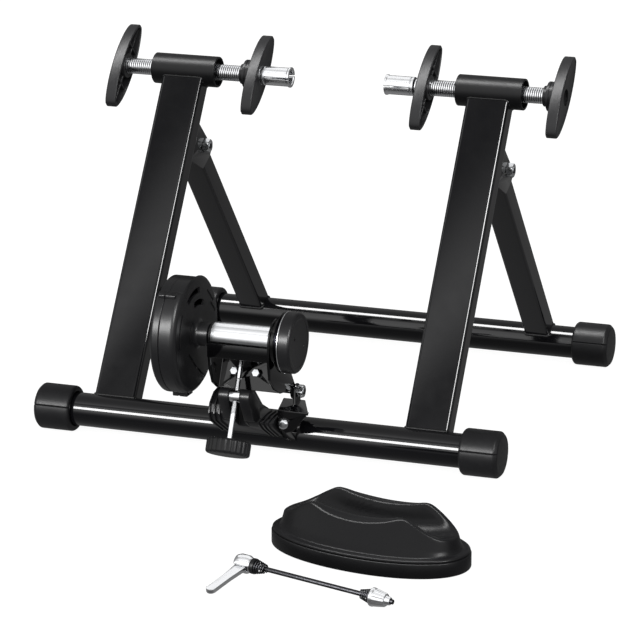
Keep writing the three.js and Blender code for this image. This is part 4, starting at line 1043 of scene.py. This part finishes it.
def bearing(name, start, node):
    """A ball bearing: two rings with a dark shield set between them."""
    end, sunk = start + 7, 0.6
    profile = [
        (BORE, start), (7.2, start), (7.2, start + sunk), (9.2, start + sunk), (9.2, start), (11, start),
        (11, end), (9.2, end), (9.2, end - sunk), (7.2, end - sunk), (7.2, end), (BORE, end), (BORE, start),
    ]
    lathed(name, profile, (0.3, 2), roller_at, zinc, 64, "unit", "zinc_steel", node)


bearing("left_bearing_rings", -46.1, "left_bearing")
bearing("right_bearing_rings", 35.3, "right_bearing")

wheel = [
    (BORE, 45.6), (33.1, 45.6), (33.5, 46), (33.5, 50.2), (30, 50.2), (30, 58.7), (BORE, 58.7),
    (BORE, 45.6),
]
wheel = turned("wheel", eased(wheel, 0.4, 2), roller_at, blued_steel, 128)
line = turned("line", eased(ring_profile(33.0, 33.9, 49.3, 50.3), 0.2, 1), roller_at, turned_chrome, 128)
settle(joined("flywheel_turned", wheel, line), "spinner", "chrome_steel", "flywheel")
cap = [
    (0, 60.6), (30.3, 60.6), (30.3, 50.5), (33.5, 50.5), (33.5, 61.3), (31.6, 63.5), (27, 63.5),
    (26.4, 63.1), (0, 63.1),
]
cap = turned("flywheel_cap_moulded", eased(cap, 0.9, 4), roller_at, abs_plastic, 128)
SLOT = [(-1.3, 13), (1.3, 13), (1.3, 19), (-1.3, 19)]
for spin in (60, 245):
    carved(cap, plate("slot", SLOT, 62.3, 65, roller_at @ turn_about("X", spin), abs_plastic, 0))
settle(cap, "spinner", "satin_black_plastic", "flywheel_cap")
print("roller line made")

# %% [markdown]
# ## The magnetic brake
#
# Two moulded shells meet at a parting line round the rim. Above a ledge on each side the rim steps
# in. The inner face has two curved vents, shallow curved grooves and a hub for the bearing, and the
# aluminium rotor and the magnet plate are behind it.

# %% Brake cutters
SHELF, RIM, STEPPED_RIM, OUTSIDE = 53.1, 66.5, 61.6, 133
FACE = -50


def arc_points(radius, start, end, steps=14):
    turn = [math.radians(start + (end - start) * k / steps) for k in range(steps + 1)]
    return [(radius * math.cos(a), radius * math.sin(a)) for a in turn]


def ledge_cutter():
    """The wedge above the two ledges, where the rim steps in from 66.5 to 61.6 mm."""
    outline = arc_points(OUTSIDE, 30, 127, 24) + [(-110, SHELF)] + arc_points(STEPPED_RIM, 120.5, 30, 48)
    return plate("wedge", outline, -90, -57, roller_at, abs_plastic, 0)


def groove(points, width, bottom):
    """A cutter that follows a line of (y, z) points on the inner face, width across."""
    left, right = [], []
    for k, spot in enumerate(points):
        before, after = Vector(points[max(0, k - 1)]), Vector(points[min(len(points) - 1, k + 1)])
        along = (after - before).normalized() * width / 2
        left.append((spot[0] - along.y, spot[1] + along.x))
        right.append((spot[0] + along.y, spot[1] - along.x))
    return plate("groove", left + right[::-1], bottom, FACE, roller_at, abs_plastic, 0)


def close_shell(name, cover, node, foot, lip):
    """Adds a cover's foot and the lip of the front ledge, a rounded bar that stands out of the rim."""
    box = plate("foot", [(-8, -71.5), (8, -71.5), (8, -60), (-8, -60)], *foot, roller_at, abs_plastic, 1.2)
    low, high = SHELF - 4.6, SHELF + 0.2
    bar = eased([(-45.5, low), (-30, low), (-30, high), (-45.5, high)], 1.7, 5, True)
    lip = plate("shelf", bar, *lip, roller_at, abs_plastic, 1.2)
    settle(joined(name, cover, box, lip), "unit", "gloss_black_plastic", node)


print("the rim steps in by", round(RIM - STEPPED_RIM, 1), "mm")

# %% Brake shells
inner_shell = [
    (6.3, -38.8), (12.8, -38.8), (13.4, -51.5), (16.5, -53.6), (28, -53.9), (44, -54.4), (61, -55.4),
    (64.8, -58), (RIM, -61), (RIM, -73.2), (65.9, -73.9), (60, -73.9), (60, -58), (28, -56.2),
    (6.3, -56.2), (6.3, -38.8),
]
inner_cover = turned("inner", eased(inner_shell, 1.2, 3), roller_at, abs_plastic, 144)
GROOVES = [
    (arc_points(48, 80, 123), 6.4, -59), (arc_points(34.6, 60, 106), 6.4, -59),
    (arc_points(52, 143, 186), 3.4, -55.9), (arc_points(24, 135, 196), 3.4, -54.8),
    ([(30, 41.1), (47.5, 25.2)], 3, -55.9), ([(38.5, 25.2), (53.2, 12.2)], 3, -55.9),
    ([(-27.2, -17.3), (-4.5, -38.4)], 3, -55.2), ([(-1.5, -39.2), (22, -56)], 2, -55.6),
]
carved(inner_cover, *(groove(*one) for one in GROOVES), ledge_cutter())
close_shell("brake_inner_shell", inner_cover, "brake_inner_cover", (-73.9, -63.9), (-73.9, -62))

outer_shell = [
    (0, -84.7), (63.5, -84.7), (RIM, -81.7), (RIM, -74.9), (65.9, -74.2), (60, -74.2), (60, -82.1),
    (7, -82.1), (7, -77.1), (0, -77.1),
]
outer_cover = turned("outer", eased(outer_shell, 1.2, 3), roller_at, abs_plastic, 144)
carved(outer_cover, ledge_cutter())
close_shell("brake_outer_shell", outer_cover, "brake_outer_cover", (-81.7, -74.2), (-81.7, -74.2))

disc = [(BORE, -72.3), (57, -72.3), (57, -68.3), (9, -68.3), (9, -64.3), (BORE, -64.3), (BORE, -72.3)]
lathed("rotor_disc", disc, (0.5, 2), roller_at, aluminium, 128, "spinner", "aluminium", "brake_rotor")
copied("magnet_plate", "magnet_ring", zinc, 0.4, "magnets", "zinc_steel")
print("brake made")

# %% [markdown]
# ## Yoke, base and adjuster
#
# The folded yoke and the pivot bracket keep the outlines of the frame and gain rounded edges. The
# casting gets its ribs too, as thin fins on both flanks. The pivot bolt, its nut and the adjuster's rod
# are drawn new: the rod is plain but for the short thread that runs through the trunnion.

# %% Yoke and its bolts
copied("yoke", "yoke_folded", gloss_coat, 0.8, "unit", "black_sheet_steel")
for end in ("left", "right"):
    copied(f"{end}_web_bolt", f"{end}_web_screw", zinc, 0.35, "unit", "zinc_steel")

pivot_at = place(0, PIVOT_Y, PIVOT_Z)
SHEET, EAR_INSIDE = 3, 35.3
ear_face, far_face = -44.0, EAR_INSIDE + 2 * (SHEET + AIR)
head = hexagon("head", 13, ear_face - 5, ear_face, pivot_at, zinc)
plain = eased([(0, ear_face - 1), (4, ear_face - 1), (4, far_face - 6), (0, far_face - 6)], 0.2, 1)
thread = threaded("thread", 4, far_face - 8, far_face + 7.6, 1.25, pivot_at, zinc)
bolt = joined("pivot_bolt_cut", head, turned("plain", plain, pivot_at, zinc, 48), thread)
settle(bolt, "main_frame", "zinc_steel", "pivot_bolt")
nut = hexagon("pivot_nut_cut", 13, far_face + 6.6, far_face, pivot_at, zinc, bore=4.2)
settle(nut, "main_frame", "zinc_steel", "pivot_nut")
print("pivot bolt M8,", round(far_face - ear_face, 1), "mm between its faces")

# %% Base casting, bracket and clamp bolt
HIGH_FIN = [
    (-31, 48), (-31, 57.2), (-51, 54.4), (-63.3, 45.6), (-67.6, 34.8), (-63.2, 24.6), (-51.2, 16.8),
    (-27, 2), (-27, 12),
]
LOW_FIN = [
    (-20, 26), (-20, 30.6), (-38, 31.2), (-61.5, 28.6), (-61, 25), (-51.2, 16.8), (-27, 2), (-27, 12),
]
FINS = ((HIGH_FIN, (-42.4, -36.5, -30.5)), (LOW_FIN, (13.5, 18.5, 23.5)))
FIN_HALF = 0.9
casting_at = place(0, main_y, tube_z)
fins = [
    plate("fin", outline, x - FIN_HALF, x + FIN_HALF, casting_at, abs_plastic, 0.4, 2)
    for outline, places in FINS for x in places
]
block = rounded_copy("base_casting", "base_moulded", abs_plastic, 0.9)
casting = joined("base_casting_ribbed", block, *fins)
settle(casting, "main_frame", "satin_black_plastic", "base_casting")
copied("pivot_bracket", "bracket_folded", gloss_coat, 0.7, "main_frame", "black_sheet_steel")
copied("clamp_bolt", "clamp_bolt_cut", zinc, 0.4, "main_frame", "zinc_steel")
print("casting fins:", len(fins))

# %% Trunnion, rod, knob and pad
FEED_UP, TILT, FLUTES, FLUTE_DEPTH = 59.1, 25, 24, 1.0
LIP_BOTTOM, PAD_THICK, GRIP_BELOW, GRIP_THICK = 133, 3.2, 57, 17.5
TRUNNION = (-7.8, main_y - 73.3, tube_z + FEED_UP)
copied("trunnion_nut", "trunnion_turned", turned_chrome, 0.8, "trunnion", "chrome_steel")
feed_at = place(*TRUNNION, turn_about("X", -TILT) @ turn_about("Y", -90))
copied("thrust_pad", "pad_turned", zinc, 0.3, "pad", "zinc_steel")
grip = [
    (0, -65.75), (20.4, -65.75), (23.4, -64.9), (24.5, -63), (24.5, -51.2), (23.6, -49.2), (21, -48.25),
    (9.5, -48.25), (8.5, -50), (3.3, -50), (3.3, -61.6), (0, -61.6),
]


def fluted(radius, x, angle):
    return radius - FLUTE_DEPTH * (0.5 + 0.5 * math.cos(FLUTES * angle)) ** 2 if radius > 20 else radius


grip = turned("adjuster_grip", eased(grip, 1.2, 3), feed_at, nylon, FLUTES * 10, radius_at=fluted)
settle(grip, "adjuster", "satin_black_plastic", "adjuster_knob")
lip_under = LIP_BOTTOM - 2 * SHEET - tube_z
rod_top = (lip_under - FEED_UP) / math.cos(math.radians(TILT)) - PAD_THICK - 3 * AIR
rod_bottom = -GRIP_BELOW - GRIP_THICK / 4 + AIR
plain = [
    (0, rod_bottom), (2.5, rod_bottom), (3, rod_bottom + 0.5), (3, -20), (2.45, -19.5), (2.45, 19.5),
    (3, 20), (3, rod_top - 0.5), (2.5, rod_top), (0, rod_top),
]
thread = threaded("thread", 3, -20, 20, 1.0, feed_at, turned_chrome)
rod = joined("adjuster_screw", turned("plain", plain, feed_at, turned_chrome, 48), thread)
settle(rod, "adjuster", "zinc_steel", "adjuster_rod")
print("unit, base and adjuster made")

# %% [markdown]
# ## The riser block
#
# The block is one blown moulding. Its walls are ovals that draw in as they rise, and its top is a
# height rule: it climbs to two ridges, and a tyre-shaped trough runs through them. The mesh is skinned
# from shrinking ovals, bottom to top, so wall, lip and trough are one smooth skin.

# %% Riser block rules
BLOCK_TURN = place(218.3, -503.9, 0, turn_about("Z", -10.3))
RISE = [
    (0, 47.4), (18, 48.3), (35, 50.6), (47, 53.3), (54, 53.4), (64, 48.6), (76, 41.6), (88, 36.4),
    (97, 35), (130, 35),
]
BULGE = 2 / 2.1
WHEEL, TYRE, SOFT = 340, 22, 7
WALL_LOW, WALL_HIGH, LENGTH_LOSS, WIDTH_LOSS = 19, 54, 9, 15.7


def rise_at(x):
    """A smooth curve through RISE, the same at both ends of the block."""
    x = min(abs(x), RISE[-1][0] - 0.1)
    i = max(k for k in range(len(RISE) - 1) if RISE[k][0] <= x)
    (x0, z0), (x1, z1) = RISE[i], RISE[i + 1]
    before, after = RISE[max(i - 1, 0)], RISE[min(i + 2, len(RISE) - 1)]
    m0 = (z1 - before[1]) / (x1 - before[0]) if i else 0.0
    m1 = (after[1] - z0) / (after[0] - x0)
    t, w = (x - x0) / (x1 - x0), x1 - x0
    back, ahead = (t ** 3 - 2 * t * t + t) * w * m0, (t ** 3 - t * t) * w * m1
    return (2 * t ** 3 - 3 * t * t + 1) * z0 + back + (3 * t * t - 2 * t ** 3) * z1 + ahead


def block_top(x, y):
    """The lower of the ridge line and the tyre's skin, with a soft lip between them."""
    side = min(abs(y), TYRE - 2.0)
    reach = WHEEL - TYRE + math.sqrt(TYRE ** 2 - side ** 2)
    tyre = WHEEL + TYRE - math.sqrt(reach ** 2 - x * x) + 4 * max(0.0, abs(y) - 20)
    top = rise_at(x) + 1.2 * math.exp(-((abs(y) - 26) / 6) ** 2)
    return (top + tyre - math.sqrt((top - tyre) ** 2 + SOFT)) / 2 + SOFT / 4 / max(4.0, abs(top - tyre))


def wall(z):
    """Half length and half width of the wall at a height: it draws in evenly as it rises."""
    rise = (z - WALL_LOW) / (WALL_HIGH - WALL_LOW)
    return 102 - LENGTH_LOSS * rise, 51.7 - WIDTH_LOSS * rise


print("block's ridge", round(rise_at(52), 1), "mm, trough", round(block_top(0, 0), 1), "mm up")


# %% Riser block rings
def oval(along, across):
    """The block's outline: a little squarer than an ellipse."""
    made = []
    for k in range(160):
        c, s = math.cos(math.tau * k / 160), math.sin(math.tau * k / 160)
        made.append((along * math.copysign(abs(c) ** BULGE, c), across * math.copysign(abs(s) ** BULGE, s)))
    return made


LIP, WALL_FOOT = 2.4, 21.4
rings = [[(x, y, z) for x, y in oval(111 - inset, 60.5 - inset)] for inset, z in (
    (1.6, 0), (0.5, 0.5), (0, 1.6), (0, 14.6), (0.4, 15.4), (1.9, 15.7), (1.9, 16.7), (0.9, 17.1),
    (1.1, 18.0), (2.4, 18.9), (4.2, 19.2), (7.2, 19.4), (8.3, 19.9), (9.0, WALL_FOOT),
)]
crown = []
for x, y in oval(1, 1):
    z = 40.0
    for _ in range(5):
        along, across = wall(z)
        z = block_top(x * (along - LIP), y * (across - LIP))
    crown.append((x, y, z))


def wall_ring(height_of, inset=0.0):
    """A ring of the wall. height_of gives each point's height from the crown's height above it."""
    made = []
    for x, y, z in crown:
        height = height_of(z)
        along, across = wall(height)
        made.append((x * (along - inset), y * (across - inset), height))
    return made


for share in (0.12, 0.3, 0.5, 0.7, 0.85, 1.0):
    rings.append(wall_ring(lambda z: WALL_FOOT + share * (z - LIP - WALL_FOOT)))
for lean in (18, 36, 54, 72, 90):
    drop, inset = LIP * (1 - math.sin(math.radians(lean))), LIP * (1 - math.cos(math.radians(lean)))
    rings.append(wall_ring(lambda z: z - drop, inset))
edge = rings[-1]
for k in range(1, 27):
    share = 1 - k / 27
    rings.append([(x * share, y * share, block_top(x * share, y * share)) for x, y, z in edge])
block = loft("wheel_riser_block_blown", rings, BLOCK_TURN, poly, 60)
settle(block, "riser_block", "gloss_black_plastic", "wheel_riser_block")
print("block rings:", len(rings))

# %% [markdown]
# ## The skewer
#
# The skewer lies where the photograph shows it. Its two conical springs are wound by the spring tree,
# and its cone nut is turned with shallow flutes for the fingers.

# %% Skewer
SKEWER = place(125.6, -619.6, 17, turn_about("Z", -11) @ turn_about("Y", 2.7) @ turn_about("X", 14.2))
NUT_AT = 145.7
for name, x, turn, body, node in (
    ("skewer_lever_spring_wound", 14.2, 90, "skewer", "skewer_lever_spring"),
    ("skewer_nut_spring_wound", 144.8, -90, "skewer_nut_carrier", "skewer_nut_spring"),
):
    wind = SKEWER @ Matrix.Translation((x, 0, 0)) @ turn_about("Y", turn)
    spring = grow(name, spring_tree, wind, dark_steel_and_root_shade, Start=6.9, End=4.0, Height=10.8, Wire=0.65, Turns=5)
    settle(spring, body, "zinc_steel", node)
nut = [
    (2.8, 0), (8.4, 0), (9.5, 1.2), (9.5, 3.4), (8.9, 4.2), (8.8, 6), (6.9, 16.4), (6.2, 17), (4.9, 17),
    (4.6, 18.5), (3.9, 21.8), (2.8, 22), (2.8, 0),
]


def gripped(radius, x, angle):
    return radius - 0.55 * (0.5 + 0.5 * math.cos(10 * angle)) ** 2 if radius > 6.5 and x > 4.5 else radius


nut_at = SKEWER @ Matrix.Translation((NUT_AT, 0, 0))
nut = turned("skewer_cone_nut_turned", eased(nut, 0.4, 2), nut_at, turned_chrome, 120, radius_at=gripped)
settle(nut, "skewer_nut", "chrome_steel", "skewer_cone_nut")
copied("skewer_rod", "skewer_rod_shaped", dark_steel_and_root_shade, 0.2, "skewer", "zinc_steel")
copied("skewer_cam_seat", "skewer_cam_seat_shaped", turned_chrome, 0.4, "skewer", "chrome_steel")
copied("skewer_washer", "skewer_washer_shaped", vinyl, 0.3, "skewer", "black_rubber")
copied("skewer_lever", "skewer_lever_shaped", turned_chrome, 0.8, "skewer_handle", "chrome_steel")
print("loose pieces made")

# %% [markdown]
# ## Who sees which lamp
#
# The lamps are linked to the pieces now that all of them exist. The welds, the yoke and the
# adjuster's grip see no strip: they lie in the shade of the legs, the roller and the tube.

# %% Link the lamps
def shine(source, pieces):
    """The lamp lights only these pieces."""
    lit = bpy.data.collections.new(source.name + "_lights")
    for piece in pieces:
        lit.objects.link(piece)
    source.light_linking.receiver_collection = lit


HIGH = (
    "fold_cross", "fold_left_foot", "fold_right_foot", "sleeve", "handle", "lock", "riser", "bracket_folded",
)
SHADED = ("weld", "yoke", "adjuster_grip")
METAL = (turned_chrome, zinc, aluminium)
meshes = [o for o in bpy.context.scene.objects if o.type == "MESH" and o != floor]
shown = [o for o in meshes if not o.hide_render and o.name not in nodes]
metal = [o for o in shown if o.data.materials and o.data.materials[0] in METAL]
shaded = [o for o in shown if any(word in o.name for word in SHADED)]
high = [o for o in shown if o not in metal and any(word in o.name for word in HIGH)]
shine(high_strip, high)
shine(low_strip, [o for o in shown if o not in metal and o not in high and o not in shaded])
shine(chrome_card, metal)
shine(top_card, metal)
shine(edge_lamp, [o for o in shown if o not in metal])
print("high strip", len(high), "pieces, chrome card", len(metal), "of", len(shown))
